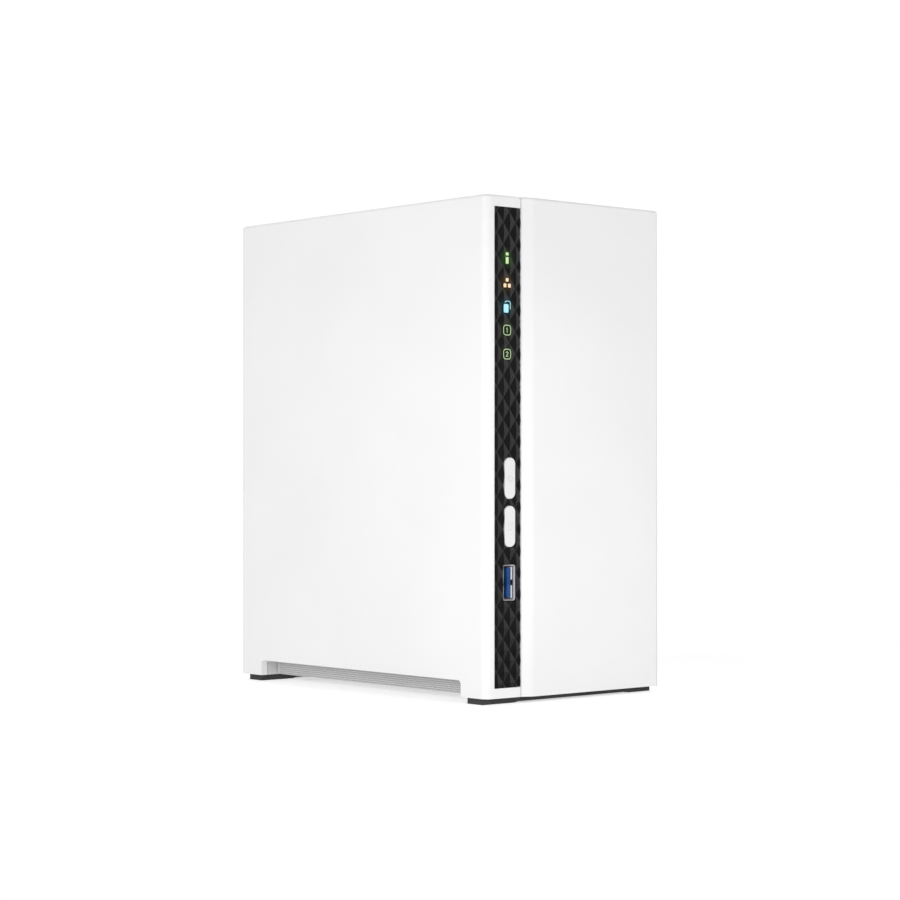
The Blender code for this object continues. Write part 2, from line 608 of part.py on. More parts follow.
def button(name, z):
    """A pill-shaped cap with a collar that stops it behind the wall, and a stem that reaches its switch."""
    outline = rounded_box(BUTTON_X, z, BUTTON_WIDTH, BUTTON_HEIGHT, BUTTON_CORNER, 15)
    cap = plate(f"{name}_button", outline, "Y", 0, FACET_WALL + 0.8, WHITE, FACET)
    wide, high, behind = BUTTON_WIDTH / 2 + 0.9, BUTTON_HEIGHT / 2 + 1.0, FACET_WALL + GAP
    collar = boxes(f"{name}_collar", [((BUTTON_X - wide, behind, z - high),
                                       (BUTTON_X + wide, behind + 1.2, z + high))], parent=FACET)
    stem = boxes(f"{name}_stem", [((BUTTON_X - 1.4, 3.2, z - 1.4), (BUTTON_X + 1.4, 9.4, z + 1.4))],
                 parent=FACET)
    return join(cap, collar, stem)


def tact_switch(name, z, thick=3.1):
    """A switch on the front board, whose plunger sinks into it with the button."""
    back = FRONT_BOARD_Y - GAP
    body = boxes(f"{name}_switch", [((BUTTON_X - 3, back - thick, z - 3), (BUTTON_X + 3, back, z + 3))], DARK,
                 FACET)
    well = rods(f"{name}_switch_well", [((BUTTON_X, back - thick - 1, z), (0, 1, 0), 3.6, 1.9)], parent=FACET)
    cut(body, well)
    rods(f"{name}_switch_plunger", [((BUTTON_X, 9.7, z), (0, 1, 0), 2.2, 1.6)], DARK, FACET)


def light_pipe(name, z):
    """A clear bar from a light on the board to the back of the bezel."""
    plate(f"light_pipe_{name}", rounded_box(LIGHT_X, z, 3.2, 3.8, 1.0, 45), "Y", POCKET_DEPTH,
          FRONT_BOARD_Y - 1.2, CLEAR, FACET)


def front_usb():
    """USB socket: a folded steel shell around a blue tongue."""
    w, h, y0, y1 = USB3_WIDTH / 2, USB3_HEIGHT / 2, 0.4, FRONT_BOARD_Y - GAP
    shell = boxes("usb3_shell", [((USB3_X - w, y0, USB3_Z - h), (USB3_X + w, y1, USB3_Z + h))], STEEL, FACET)
    room = boxes("usb3_room", [((USB3_X - w + 0.4, y0 - 1, USB3_Z - h + 0.4),
                                (USB3_X + w - 0.4, y1 - 0.5, USB3_Z + h - 0.4))], parent=FACET)
    cut(shell, room)
    (left, right), half = USB3_TONGUE_X, USB3_TONGUE_HALF
    tongue = boxes("usb3_tongue", [((left, y0 + 0.7, USB3_Z - half), (right, y1 - 2.5, USB3_Z + half))], BLUE,
                   FACET)
    block = boxes("usb3_block", [((USB3_X - w + 0.7, y1 - 3.5, USB3_Z - h + 0.7),
                                  (USB3_X + w - 0.7, y1 - 0.8, USB3_Z + h - 0.7))], parent=FACET)
    join(tongue, block)


def front_board():
    outline = rounded_box(-0.2, 101.0, 11.4, 142.0, 0.8, 45)
    plate("front_board", outline, "Y", FRONT_BOARD_Y, FRONT_BOARD_Y + 1.6, BOARD, FACET)


# ------------------------------------------------------------------ mainboard and rear sockets

def mainboard():
    (y0, y1), (z0, z1) = BOARD_Y, BOARD_Z
    outline = rounded([(y0, z0, 1), (y1, z0, 1), (y1, z1, 1), (y0, z1, 1)], 45)
    holes = [ring(y, z, 1.7, 10) for y, z in BOARD_HOLES]
    return plate("mainboard", outline, "X", BOARD_X, BOARD_FACE, BOARD, holes=holes)


def lan_jack():
    """Eight-way network jack: the wide mouth, and the stepped way for the plug's latch."""
    x0, x1 = LAN_X
    jack = boxes("lan_jack", [((x0, PORT_BACK - 21.3, LAN_Z - 8), (x1, PORT_BACK, LAN_Z + 8))], STEEL)
    mouth = boxes("lan_mouth", [((x0 + 4.6, PORT_BACK - 13, LAN_Z - 5.9),
                                 (x0 + 11.6, PORT_BACK + 1, LAN_Z + 5.9))])
    latch = boxes("lan_latch", [((x0 + 2.8, PORT_BACK - 12, LAN_Z - 3.1),
                                 (x0 + 5, PORT_BACK + 1, LAN_Z + 3.1))])
    return cut(jack, mouth, latch)


def rear_usb():
    """Two USB sockets side by side in one shell, with their two tongues on one block."""
    x0, x1 = USB2_X
    shell = boxes("usb2_shell", [((x0, PORT_BACK - 17.5, USB2_Z - 6.6), (x1, PORT_BACK, USB2_Z + 6.6))],
                  STEEL)
    rooms, tongues = [], []
    for x in (x0 + 0.5, x0 + 8.3):
        rooms.append(((x, PORT_BACK - 16.9, USB2_Z - 6.2), (x + 6.2, PORT_BACK + 1, USB2_Z + 6.2)))
        tongues.append(((x + 3.3, PORT_BACK - 15, USB2_Z - 5.5), (x + 5.1, PORT_BACK - 0.8, USB2_Z + 5.5)))
    cut(shell, boxes("usb2_rooms", rooms))
    for name, (low, high) in zip(("usb2_tongue_a", "usb2_tongue_b"), tongues):
        tongue = boxes(name, [(low, high)], DARK)
        heel = boxes(name + "_heel", [((low[0] - 3.0, PORT_BACK - 16.6, USB2_Z - 5.9),
                                       (high[0] + 0.8, PORT_BACK - 13, USB2_Z + 5.9))])
        join(tongue, heel)


def dc_jack():
    """Round power inlet with its centre pin."""
    jack = boxes("dc_jack", [((PORT_FRONT, PORT_BACK - 14.4, DC_Z - 4.5),
                              (PORT_FRONT + 10, PANEL_FRONT - GAP, DC_Z + 4.5))], DARK)
    collar = rods("dc_collar", [((DC_X, PANEL_FRONT - 3, DC_Z), (0, 1, 0), PORT_BACK - PANEL_FRONT + 3, 4.5)],
                  sides=20)
    bore = rods("dc_bore", [((DC_X, PORT_BACK + 1, DC_Z), (0, -1, 0), 11.5, 3.1)], sides=20)
    join(jack, collar)
    cut(jack, bore)
    rods("dc_pin", [((DC_X, PORT_BACK - 10.2, DC_Z), (0, 1, 0), 9.4, 1.0)], BRASS, sides=12)


def reset_button():
    """A small side-pressed switch behind the pinhole."""
    y0, y1 = PANEL_FRONT - 6.0, PANEL_FRONT - 2.0
    body = boxes("reset_switch", [((PORT_FRONT, y0, RESET_Z - 2.2), (PORT_FRONT + 6.4, y1, RESET_Z + 2.2))],
                 DARK)
    well = rods("reset_well", [((RESET_X, y1 + 1, RESET_Z), (0, -1, 0), 4.0, 1.2)], sides=12)
    cut(body, well)
    rods("reset_plunger", [((RESET_X, y1 - 2.2, RESET_Z), (0, 1, 0), 3.4, 0.9)], DARK, sides=12)


def heat_sink():
    """A finned block on the processor, drawn as a comb seen from above."""
    y0, fins, pitch, fin, x0 = -14.0, 9, 4.2, 1.4, BOARD_FACE + 1.6
    outline = [(x0, y0)]
    for k in range(fins):
        y = y0 + k * pitch
        outline += [(x0 + 12, y), (x0 + 12, y + fin)]
        if k < fins - 1:
            outline += [(x0 + 2.4, y + fin), (x0 + 2.4, y + pitch)]
    outline.append((x0, y0 + (fins - 1) * pitch + fin))
    plate("heat_sink", outline, "Z", 34.0, 66.0, ALUMINIUM)


def coin_cell():
    rods("coin_cell", [((BOARD_FACE + 1.0, 34.0, 34.0), (1, 0, 0), 3.2, 10.0)], STEEL, sides=24)


# ------------------------------------------------------------------ drives, cage and backplane

def drive_cage():
    """A sheet folded up at both sides, with windows for air and holes for the drive screws."""
    x0, x1 = CAGE_X
    y0, y1 = DRIVE_Y[0] - 9.0, DRIVE_Y[1] + 9.0
    floor = CAGE_FLOOR
    outline = [(x0, floor), (x1, floor), (x1, CAGE_TOP), (x1 - CAGE_SHEET, CAGE_TOP),
               (x1 - CAGE_SHEET, floor + CAGE_SHEET),
               (x0 + CAGE_SHEET, floor + CAGE_SHEET), (x0 + CAGE_SHEET, CAGE_TOP), (x0, CAGE_TOP)]
    cage = plate("drive_cage", outline, "Y", y0, y1, STEEL)
    trim = boxes("cage_trim", [((x0 - 5, a, floor + 12), (x1 + 5, b, CAGE_TOP + 5))
                               for a, b in ((y0 - 5, DRIVE_Y[0] - 1.5), (DRIVE_Y[1] + 1.5, y1 + 5))])
    windows = boxes("cage_windows", [((x0 - 5, y, z), (x1 + 5, y + 37, z + 34))
                                     for y in (DRIVE_Y[0] + 10, DRIVE_Y[1] - 47) for z in (72.0, 116.0)]
                    + [((x0 - 5, DRIVE_Y[0] + 10, 34), (x1 + 5, DRIVE_Y[1] - 10, 62))])
    screw_holes = rods("cage_screw_holes", [((x0 - 5, y, z), (1, 0, 0), x1 - x0 + 10, 2.2)
                                            for y in DRIVE_HOLES_Y for z in DRIVE_HOLES_Z], sides=10)
    sockets = boxes("cage_sockets", [((x - 4.2, SATA_Y[0] - 2, floor - 3),
                                      (x + 4.2, SATA_Y[1] + 2, floor + 4)) for x in SATA_X.values()])
    vents = boxes("cage_floor_vents", [((x, 6.0, floor - 3), (x + 3, 36.0, floor + 4))
                                       for x in (2.0, 8.0, 18.0, 24.0)])
    return cut(cage, trim, windows, screw_holes, sockets, vents)


# Each drive's board faces its wall of the cage: (x of that face, direction into the drive).
DRIVE_FACES = {"1": (CAGE_X[0] + CAGE_SHEET + GAP, 1), "2": (CAGE_X[1] - CAGE_SHEET - GAP, -1)}
SATA_X = {name: face + way * SATA_IN for name, (face, way) in DRIVE_FACES.items()}
SATA_Y = (DRIVE_Y[0] + 14.0, DRIVE_Y[0] + 56.0)


def span(a, b):
    return min(a, b), max(a, b)


def drive(name):
    """One 3.5 inch drive: a cast tub, its pressed lid and its board, standing on its connector."""
    face, way = DRIVE_FACES[name]
    (y0, y1), z0, z1 = DRIVE_Y, DRIVE_Z, DRIVE_Z + DRIVE_LENGTH
    outline = rounded([(y0, z0, 1.5), (y1, z0, 1.5), (y1, z1, 1.5), (y0, z1, 1.5)], 45)
    lid_face = face + way * (DRIVE_THICK - 1.2)
    tub = plate(f"drive_{name}_tub", outline, "X", *span(face, lid_face - way * GAP), ALUMINIUM)
    middle = (y0 + y1) / 2
    floor = face + way * 6.0
    room = rods(f"drive_{name}_room", [((floor, middle, z1 - 52.5), (way, 0, 0), 30, 48.4)], sides=32)
    room_x = span(floor, face + way * 40)
    arm_room = boxes(f"drive_{name}_arm_room", [((room_x[0], y0 + 5, z0 + 12), (room_x[1], y1 - 5, z0 + 62))])
    board_x = span(face + way * -5, face + way * 1.9)
    board_bed = boxes(f"drive_{name}_bed", [((board_x[0], y0 + 8, z0 + 8), (board_x[1], y1 - 8, z0 + 84))])
    socket_x = span(SATA_X[name] - 3.6, SATA_X[name] + 3.6)
    socket = boxes(f"drive_{name}_socket", [((socket_x[0], SATA_Y[0] - 1, z0 - 5),
                                             (socket_x[1], SATA_Y[1] + 1, z0 + 5))])
    screws = rods(f"drive_{name}_threads", [((face - way * 5, y, z), (way, 0, 0), 9.6, 1.85)
                                            for y in DRIVE_HOLES_Y for z in DRIVE_HOLES_Z], sides=10)
    cut(tub, room, arm_room, board_bed, socket, screws)
    lid_outline = rounded([(y0 + 1.5, z0 + 10, 6), (y1 - 1.5, z0 + 10, 6), (y1 - 1.5, z1 - 1.5, 6),
                           (y0 + 1.5, z1 - 1.5, 6)], 30)
    plate(f"drive_{name}_lid", lid_outline, "X", *span(lid_face, face + way * DRIVE_THICK), STEEL)
    board_outline = rounded([(y0 + 8.4, z0 + 8.4, 1), (y1 - 8.4, z0 + 8.4, 1), (y1 - 8.4, z0 + 83.6, 1),
                             (y0 + 8.4, z0 + 83.6, 1)], 45)
    plate(f"drive_{name}_board", board_outline, "X", *span(face + way * 0.6, face + way * 1.6), BOARD)


def drive_screws():
    """The four screws that hold drive 2 through the cage's outer wall."""
    wall = CAGE_X[1]
    for number, (y, z) in enumerate(((y, z) for y in DRIVE_HOLES_Y for z in DRIVE_HOLES_Z), 1):
        shank = rods(f"drive_screw_{number}_shank", [((wall + 0.5, y, z), (-1, 0, 0), 5.0, 1.5)], sides=10)
        head = rods(f"drive_screw_{number}", [((wall + 0.1, y, z), (1, 0, 0), 0.6, 2.6)], STEEL, sides=16)
        join(head, shank)


def backplane():
    x0, x1, y0, y1 = -15.0, 38.5, -54.0, 44.0
    outline = rounded([(x0, y0, 1), (x1, y0, 1), (x1, y1, 1), (x0, y1, 1)], 45)
    return plate("backplane", outline, "Z", BACKPLANE_Z, BACKPLANE_Z + BACKPLANE_THICK, BOARD)


def sata_sockets():
    z0 = BACKPLANE_Z + BACKPLANE_THICK + GAP
    for name, x in SATA_X.items():
        body = boxes(f"sata_socket_{name}", [((x - 3.2, SATA_Y[0], z0),
                                              (x + 3.2, SATA_Y[1], DRIVE_Z + 0.6))], DARK)
        blade = boxes(f"sata_blade_{name}", [((x - 2.0, SATA_Y[0] + 1.5, DRIVE_Z - 1),
                                              (x + 2.0, SATA_Y[1] - 1.5, DRIVE_Z + 4.4))])
        join(body, blade)


# ------------------------------------------------------------------ fan

BLADES, BLADE_TIP, BLADE_ROWS = 7, 36.6, 6
FAN_SIDES = 48


def fan_frame():
    """A square frame with a round duct, and three struts that carry the motor at the back."""
    half = FAN_SIZE / 2
    outline = rounded_box(0, FAN_Z, FAN_SIZE, FAN_SIZE, 3.0)
    holes = [ring(x, FAN_Z + z, 2.2, 12) for x in (-FAN_HOLES / 2, FAN_HOLES / 2)
             for z in (-FAN_HOLES / 2, FAN_HOLES / 2)]
    frame = plate("fan_frame", outline, "Y", FAN_FRONT, FAN_BACK, DARK,
                  holes=[ring(0, FAN_Z, FAN_DUCT, FAN_SIDES), *holes])
    # The frame is a flange at each end with a thinner wall between, cut away at its four sides.
    middles, thick = [side * (half - 1.6 + 1.8) for side in (-1, 1)], 1.8
    y0, y1, ends = FAN_FRONT + 4, FAN_BACK - 4, half - 12
    reliefs = boxes("fan_reliefs", [((-ends, y0, FAN_Z + m - thick), (ends, y1, FAN_Z + m + thick))
                                    for m in middles]
                    + [((m - thick, y0, FAN_Z - ends), (m + thick, y1, FAN_Z + ends)) for m in middles])
    cut(frame, reliefs)
    hub = rods("fan_motor_seat", [((0, FAN_BACK - 2.2, FAN_Z), (0, 1, 0), 2.0, FAN_HUB + 1)], sides=32)
    sleeve = rods("fan_sleeve", [((0, FAN_BACK - 16, FAN_Z), (0, 1, 0), 15.4, 3.4)], sides=24)
    join(frame, hub, sleeve)
    for k in range(3):
        angle = math.radians(30 + 120 * k)
        strut = boxes(f"fan_strut_{k}", [((FAN_HUB - 2, -2.0, -1.8), (FAN_DUCT + 1.2, 0.0, 1.8))])
        strut.data.transform(Matrix.Translation(strut.location))
        strut.location = Vector((0, FAN_BACK - 0.25, FAN_Z)) * MM
        strut.rotation_euler.y = angle
        join(frame, strut)
    bore = rods("fan_bore", [((0, FAN_BACK - 20, FAN_Z), (0, 1, 0), 18.6, 1.62)], sides=24)
    return cut(frame, bore)


def fan_blade_tool(number):
    """One twisted blade, lofted from thin sections at growing radii, and turned into place about the hub."""
    bm = bmesh.new()
    rings = []
    for k in range(BLADE_ROWS + 1):
        share = k / BLADE_ROWS
        radius = FAN_HUB - 1.0 + (BLADE_TIP - FAN_HUB + 1.0) * share
        chord = 15.0 + 5.0 * share
        pitch = math.radians(48 - 20 * share)
        section = []
        for along, across in ((-0.5, 0), (0.0, 1.1), (0.5, 0.3), (0.5, -0.3), (0.0, -0.1)):
            x = along * chord * math.cos(pitch) - across * math.sin(pitch)
            y = along * chord * math.sin(pitch) + across * math.cos(pitch)
            turn = x / radius + 0.25 * share
            section.append(bm.verts.new(Vector((radius * math.sin(turn), y, radius * math.cos(turn))) * MM))
        rings.append(section)
    for a, b in zip(rings, rings[1:]):
        for i in range(len(a)):
            j = (i + 1) % len(a)
            bm.faces.new((a[i], a[j], b[j], b[i]))
    bm.faces.new(rings[0][::-1])
    bm.faces.new(rings[-1])
    bmesh.ops.recalc_face_normals(bm, faces=bm.faces)
    blade = add(f"fan_blade_{number}", bm)
    blade.location = Vector((0, FAN_FRONT + 11.0, FAN_Z)) * MM
    blade.rotation_euler.y = 2 * math.pi * number / BLADES
    return blade


def fan_rotor():
    """A cup over the motor with seven blades, turning on a steel shaft."""
    front = FAN_FRONT + 1.0
    cup = rods("fan_rotor", [((0, front, FAN_Z), (0, 1, 0), 19.0, FAN_HUB)], DARK, sides=FAN_SIDES)
    settle(cup)
    cup.location = Vector((0, front + 9.5, FAN_Z)) * MM
    join(cup, *[fan_blade_tool(k) for k in range(BLADES)])
    inside = rods("fan_cup_inside", [((0, front + 2.0, FAN_Z), (0, 1, 0), 30, FAN_HUB - 1.6)],
                  sides=FAN_SIDES)
    seat = rods("fan_shaft_seat", [((0, front + 1.0, FAN_Z), (0, 1, 0), 5, 1.8)], sides=16)
    cut(cup, inside, seat)
    rods("fan_shaft", [((0, front + 1.3, FAN_Z), (0, 1, 0), 17.5, 1.5)], STEEL, sides=24)
    stator = rods("fan_stator", [((0, FAN_BACK - 14.5, FAN_Z), (0, 1, 0), 8.0, 11.6)], COPPER, sides=24)
    core = rods("fan_stator_core", [((0, FAN_BACK - 20, FAN_Z), (0, 1, 0), 20, 3.7)], sides=24)
    slots = []
    for k in range(4):
        slot = boxes(f"fan_stator_slot_{k}", [((7.0, -20, -1.0), (14, 0, 1.0))])
        slot.data.transform(Matrix.Translation(slot.location))
        slot.location = Vector((0, FAN_BACK, FAN_Z)) * MM
        slot.rotation_euler.y = math.pi / 2 * k + math.pi / 4
        slots.append(slot)
    cut(stator, core, *slots)


def fan_screws():
    places = [(x, z) for x in (-FAN_HOLES / 2, FAN_HOLES / 2) for z in (-FAN_HOLES / 2, FAN_HOLES / 2)]
    for number, (x, z) in enumerate(places, 1):
        head = rods(f"fan_screw_{number}", [((x, PANEL_BACK + 0.1, FAN_Z + z), (0, 1, 0), 0.7, 3.2)], STEEL,
                    sides=16)
        shank = rods(f"fan_screw_{number}_shank", [((x, PANEL_BACK + 0.5, FAN_Z + z), (0, -1, 0), 10, 1.7)],
                     sides=12)
        join(head, shank)


def leads():
    """The fan's lead to the mainboard, and the flat lead between the mainboard and the front board."""
    corner = (-37.4, FAN_FRONT - 1.7, FAN_Z - 36.0)
    route = [corner, (-36.6, FAN_FRONT - 6.0, 81.0), (-35.4, FAN_FRONT - 9.5, 73.0),
             (-35.4, FAN_FRONT - 10.0, 66.0), (-35.4, FAN_FRONT - 10.0, 62.0)]
    tube("fan_lead", through(route, 3), 1.3, DARK)
    thick = 0.5
    path = [(-36.6, -59.9), (-36.6, -53.0), (-35.2, -47.0), (-35.2, -32.0)]
    outline = path + [(x + thick, y) for x, y in reversed(path)]
    plate("front_lead", outline, "Z", 50.0, 64.0, WHITE)


def build():
    left_housing()
    side_cover()
    base_tray()
    feet()
    intake_grilles()
    rear_panel()
    cover_screws()
    bezel_strip()
    for name, z in BUTTON_HEIGHTS.items():
        button(name, z)
        tact_switch(name, z)
    for name, z in LIGHT_HEIGHTS.items():
        light_pipe(name, z)
    front_usb()
    front_board()
    mainboard()
    lan_jack()
    rear_usb()
    dc_jack()
    reset_button()
    heat_sink()
    coin_cell()
    drive_cage()
    for name in DRIVE_FACES:
        drive(name)
    drive_screws()
    backplane()
    sata_sockets()
    fan_frame()
    fan_rotor()
    fan_screws()
    leads()


build()
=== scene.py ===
"""Looks of a two-bay desktop network storage box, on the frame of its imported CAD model.

Sizes are in millimetres in the row frame (front at -Y, up +Z) and meet Blender's metres through MM.
"""

import math
import random
from itertools import product

import bmesh
import bpy
from mathutils import Matrix, Vector


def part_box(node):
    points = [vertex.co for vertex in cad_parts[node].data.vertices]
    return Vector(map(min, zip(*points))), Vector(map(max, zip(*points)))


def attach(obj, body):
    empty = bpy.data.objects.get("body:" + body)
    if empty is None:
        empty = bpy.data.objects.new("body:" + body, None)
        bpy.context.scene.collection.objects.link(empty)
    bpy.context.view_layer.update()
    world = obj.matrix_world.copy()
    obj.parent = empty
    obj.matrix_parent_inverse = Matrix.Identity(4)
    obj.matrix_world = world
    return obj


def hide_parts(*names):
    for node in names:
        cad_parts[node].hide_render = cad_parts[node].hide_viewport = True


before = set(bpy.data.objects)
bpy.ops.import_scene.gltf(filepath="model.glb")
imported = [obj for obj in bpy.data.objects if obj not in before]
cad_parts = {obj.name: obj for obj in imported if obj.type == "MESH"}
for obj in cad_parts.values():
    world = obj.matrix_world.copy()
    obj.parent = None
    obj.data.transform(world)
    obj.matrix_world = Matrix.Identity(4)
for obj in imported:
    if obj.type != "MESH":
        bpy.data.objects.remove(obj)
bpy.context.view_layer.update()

MM = 0.001
random.seed(20)


def mm_box(node):
    """A CAD node's lowest and highest corners, in millimetres."""
    low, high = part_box(node)
    return low / MM, high / MM


def added(name, data):
    """A new object in the scene."""
    made = bpy.data.objects.new(name, data)
    bpy.context.scene.collection.objects.link(made)
    return made


# ---- camera, floor and light

CAMERA_PLACE, CAMERA_TURN = (-0.6125, -0.7034, 0.0851), math.radians(41.22)
LENS, SENSOR, SHIFT_UP = 92, 36, 0.0274
FLOOR_REACH, PAPER_GLOW = 30, 0.52
SEEN_WHITE, SOFT_LIGHT, MIRRORED = 1.05, 0.42, 0.085
SUNS = {  # name: (azimuth and elevation in degrees, strength, width of its disc in degrees)
    "sun_left": (-82, 32, 0.86, 50),
    "sun_front": (25, 50, 0.24, 30),
    "sun_right": (62, 14, 0.325, 56),
    "sun_far_right": (112, 25, 0.55, 50),
    "sun_back": (165, 35, 0.62, 50),
}
PANELS = {  # name: (azimuth, distance in metres, the place it is aimed at, width, height, power)
    "front_panel": (-25, 0.22, (-0.01, -0.078, 0.05), 0.16, 0.12, 0.145),
    "left_panel": (-80, 0.25, (-0.045, -0.02, 0.075), 0.2, 0.1, 0.078),
}

camera_data = bpy.data.cameras.new("camera")
camera_data.lens, camera_data.sensor_width, camera_data.shift_y = LENS, SENSOR, SHIFT_UP
camera_data.clip_end = 2 * FLOOR_REACH
camera = added("camera", camera_data)
camera.location = CAMERA_PLACE
camera.rotation_euler = (math.pi / 2, 0, -CAMERA_TURN)
bpy.context.scene.camera = camera
bpy.context.scene.view_settings.view_transform = "Standard"


def node(owner, kind, inputs=(), **settings):
    """A shader node in its owner's tree. Its inputs are constants, or the sockets that feed them."""
    tree = owner.id_data
    made = tree.nodes.new("ShaderNode" + kind)
    for key, value in settings.items():
        setattr(made, key, value)
    for key, value in dict(inputs).items():
        if isinstance(value, bpy.types.NodeSocket):
            tree.links.new(value, made.inputs[key])
        else:
            made.inputs[key].default_value = value
    return made


def studio_world():
    """White behind everything, a softer even light from all round, and a dim room in the reflections."""
    world = bpy.data.worlds.new("studio")
    world.use_nodes = True
    bpy.context.scene.world = world
    tree = world.node_tree
    tree.nodes.clear()
    seen, light, mirrored = (node(tree, "Background", {"Color": (1, 1, 1, 1), "Strength": power}).outputs[0]
                             for power in (SEEN_WHITE, SOFT_LIGHT, MIRRORED))
    ray = node(tree, "LightPath")
    indirect = node(tree, "MixShader", {0: ray.outputs["Is Glossy Ray"], 1: light, 2: mirrored}).outputs[0]
    mix = node(tree, "MixShader", {0: ray.outputs["Is Camera Ray"], 1: indirect, 2: seen}).outputs[0]
    node(tree, "OutputWorld", {"Surface": mix})


def way_to(azimuth, elevation):
    """The direction of a place round the object: azimuth 0 is in front, 90 to the right, -90 to the left."""
    a, e = math.radians(azimuth), math.radians(elevation)
    return Vector((math.sin(a) * math.cos(e), -math.cos(a) * math.cos(e), math.sin(e)))


def lamp(kind, name, way, distance, target, **settings):
    """A light in a direction from its target, aimed at it."""
    data = bpy.data.lights.new(name, kind)
    for key, value in settings.items():
        setattr(data, key, value)
    made = added(name, data)
    made.location = Vector(target) + way * distance
    made.rotation_euler = way.to_track_quat("Z", "Y").to_euler()
    return made


def studio():
    """Even suns from all round. Low panels close by light the front corner more than the top and the rear."""
    studio_world()
    for name, (azimuth, elevation, strength, wide) in SUNS.items():
        lamp("SUN", name, way_to(azimuth, elevation), 1, (0, 0, 0.09), energy=strength,
             angle=math.radians(wide))
    for name, (azimuth, distance, target, wide, high, power) in PANELS.items():
        panel = lamp("AREA", name, way_to(azimuth, 0), distance, target, shape="RECTANGLE", size=wide,
                     size_y=high, energy=power)
        panel.visible_camera = False


def floor():
    mesh = bpy.data.meshes.new("floor")
    r = FLOOR_REACH
    mesh.from_pydata([(-r, -r, 0), (r, -r, 0), (r, r, 0), (-r, r, 0)], [], [(0, 1, 2, 3)])
    obj = added("floor", mesh)
    paper = bpy.data.materials.new("studio_paper")
    paper.use_nodes = True
    shader = paper.node_tree.nodes["Principled BSDF"]
    coords = node(shader, "TexCoord").outputs["Object"]
    patches = node(coords, "TexNoise", {"Vector": coords, "Scale": 6, "Detail": 3}).outputs["Fac"]
    tint(shader, patches, (0.3, (0.61, 0.61, 0.61)), (0.7, (0.63, 0.63, 0.63)))
    shader.inputs["Roughness"].default_value = 0.9
    shader.inputs["Specular IOR Level"].default_value = 0
    # The paper is lit from below as well, as on a light table, so that it stays as white as the backdrop.
    shader.inputs["Emission Color"].default_value = (1, 1, 1, 1)
    shader.inputs["Emission Strength"].default_value = PAPER_GLOW
    mesh.materials.append(paper)
    obj.visible_glossy = False


# ---- materials

def feed(shader, name, source):
    shader.id_data.links.new(source, shader.inputs[name])


def ramp(factor, stops):
    """A colour that runs through (place, colour) stops as a factor rises."""
    made = node(factor, "ValToRGB", {"Fac": factor})
    elements = made.color_ramp.elements
    while len(elements) < len(stops):
        elements.new(0.5)
    for element, (place, colour) in zip(elements, stops):
        element.position = place
        element.color = (*colour, 1)
    return made.outputs["Color"]


def spread(factor, low, high):
    """A factor from 0 to 1 spread over a range."""
    return node(factor, "MapRange", {"Value": factor, "To Min": low, "To Max": high}).outputs[0]


def tint(shader, factor, *stops):
    """A base colour that runs through stops as a factor rises."""
    feed(shader, "Base Color", ramp(factor, stops))


def roughen(shader, factor, low, high):
    """A roughness that runs from low to high with a factor."""
    feed(shader, "Roughness", spread(factor, low, high))


def noise(coords, scale, detail=3, rough=0.55):
    return node(coords, "TexNoise", {"Vector": coords, "Scale": scale, "Detail": detail,
                                     "Roughness": rough}).outputs["Fac"]


def blank(name, metal=0, specular=0.5):
    """A new material, its shader, and coordinates in metres in the row frame."""
    made = bpy.data.materials.new(name + "_finish")
    made.use_nodes = True
    shader = made.node_tree.nodes["Principled BSDF"]
    shader.inputs["Metallic"].default_value = metal
    shader.inputs["Specular IOR Level"].default_value = specular
    return made, shader, node(shader, "TexCoord").outputs["Object"]


def stretched(coords, scale):
    return node(coords, "Mapping", {"Vector": coords, "Scale": scale}).outputs["Vector"]


def bumped(shader, height, distance, strength=0.6):
    bump = node(shader, "Bump", {"Height": height, "Strength": strength, "Distance": distance})
    feed(shader, "Normal", bump.outputs["Normal"])


def finish(name, dark, light, rough, metal=0, specular=0.5, patch=45, grain=2200, bump=8e-6, stretch=None):
    """A material whose tone wanders in patches, with a fine grain in its gloss and surface."""
    made, shader, coords = blank(name, metal, specular)
    along = stretched(coords, stretch) if stretch else coords
    patches = noise(coords, patch, 4)
    fine = noise(along, grain, 2, 0.6)
    tint(shader, patches, (0.32, dark), (0.68, light))
    roughen(shader, fine, *rough)
    bumped(shader, fine, bump)
    return made


def moulded_white(name, dark, light, rough=(0.34, 0.46)):
    """White injection-moulded plastic with a spark-eroded texture: small soft dimples."""
    made, shader, coords = blank(name)
    patches = noise(coords, 16, 4)
    tint(shader, patches, (0.3, dark), (0.7, light))
    cells = node(coords, "TexVoronoi", {"Vector": coords, "Scale": 2600})
    fine = noise(coords, 1500, 3)
    both = node(coords, "Math", {0: cells.outputs["Distance"], 1: fine}, operation="ADD").outputs[0]
    roughen(shader, fine, *rough)
    bumped(shader, both, 9e-6, 0.45)
    return made


SIGNS = {  # name: (height on the strip, colour of its light, painted glow that stands in for the light it throws on the facets round it)
    "status": (165.4, (0.56, 0.8, 0.33), (0.01, 0.034, 0.004)),
    "network": (156.2, (0.98, 0.72, 0.42), (0.034, 0.019, 0.002)),
    "usb": (147.4, (0.38, 0.84, 0.92), (0, 0.026, 0.034)),
    "disk_1": (138.7, (0.5, 0.68, 0.36), (0.01, 0.017, 0.006)),
    "disk_2": (129.8, (0.5, 0.68, 0.36), (0.01, 0.017, 0.006)),
}

SIGN_X, LIT_DEPTH, SIGN_FADE = -0.2, 0.4, 2.6
PAINTED_GLOW_NEAR, PAINTED_GLOW_FAR = 1.2, 4.6  # from a sign's middle, where its painted glow on the strip starts to fade, and ends

# The strip's own frame: X across it, Y into it from its peaks, and Z up.
STRIP_X, STRIP_Y, STRIP_DEG = -34.348, -75.959, 1.5
FACET = Matrix.Translation((STRIP_X, STRIP_Y, 0)) @ Matrix.Rotation(-math.radians(STRIP_DEG), 4, "Z")


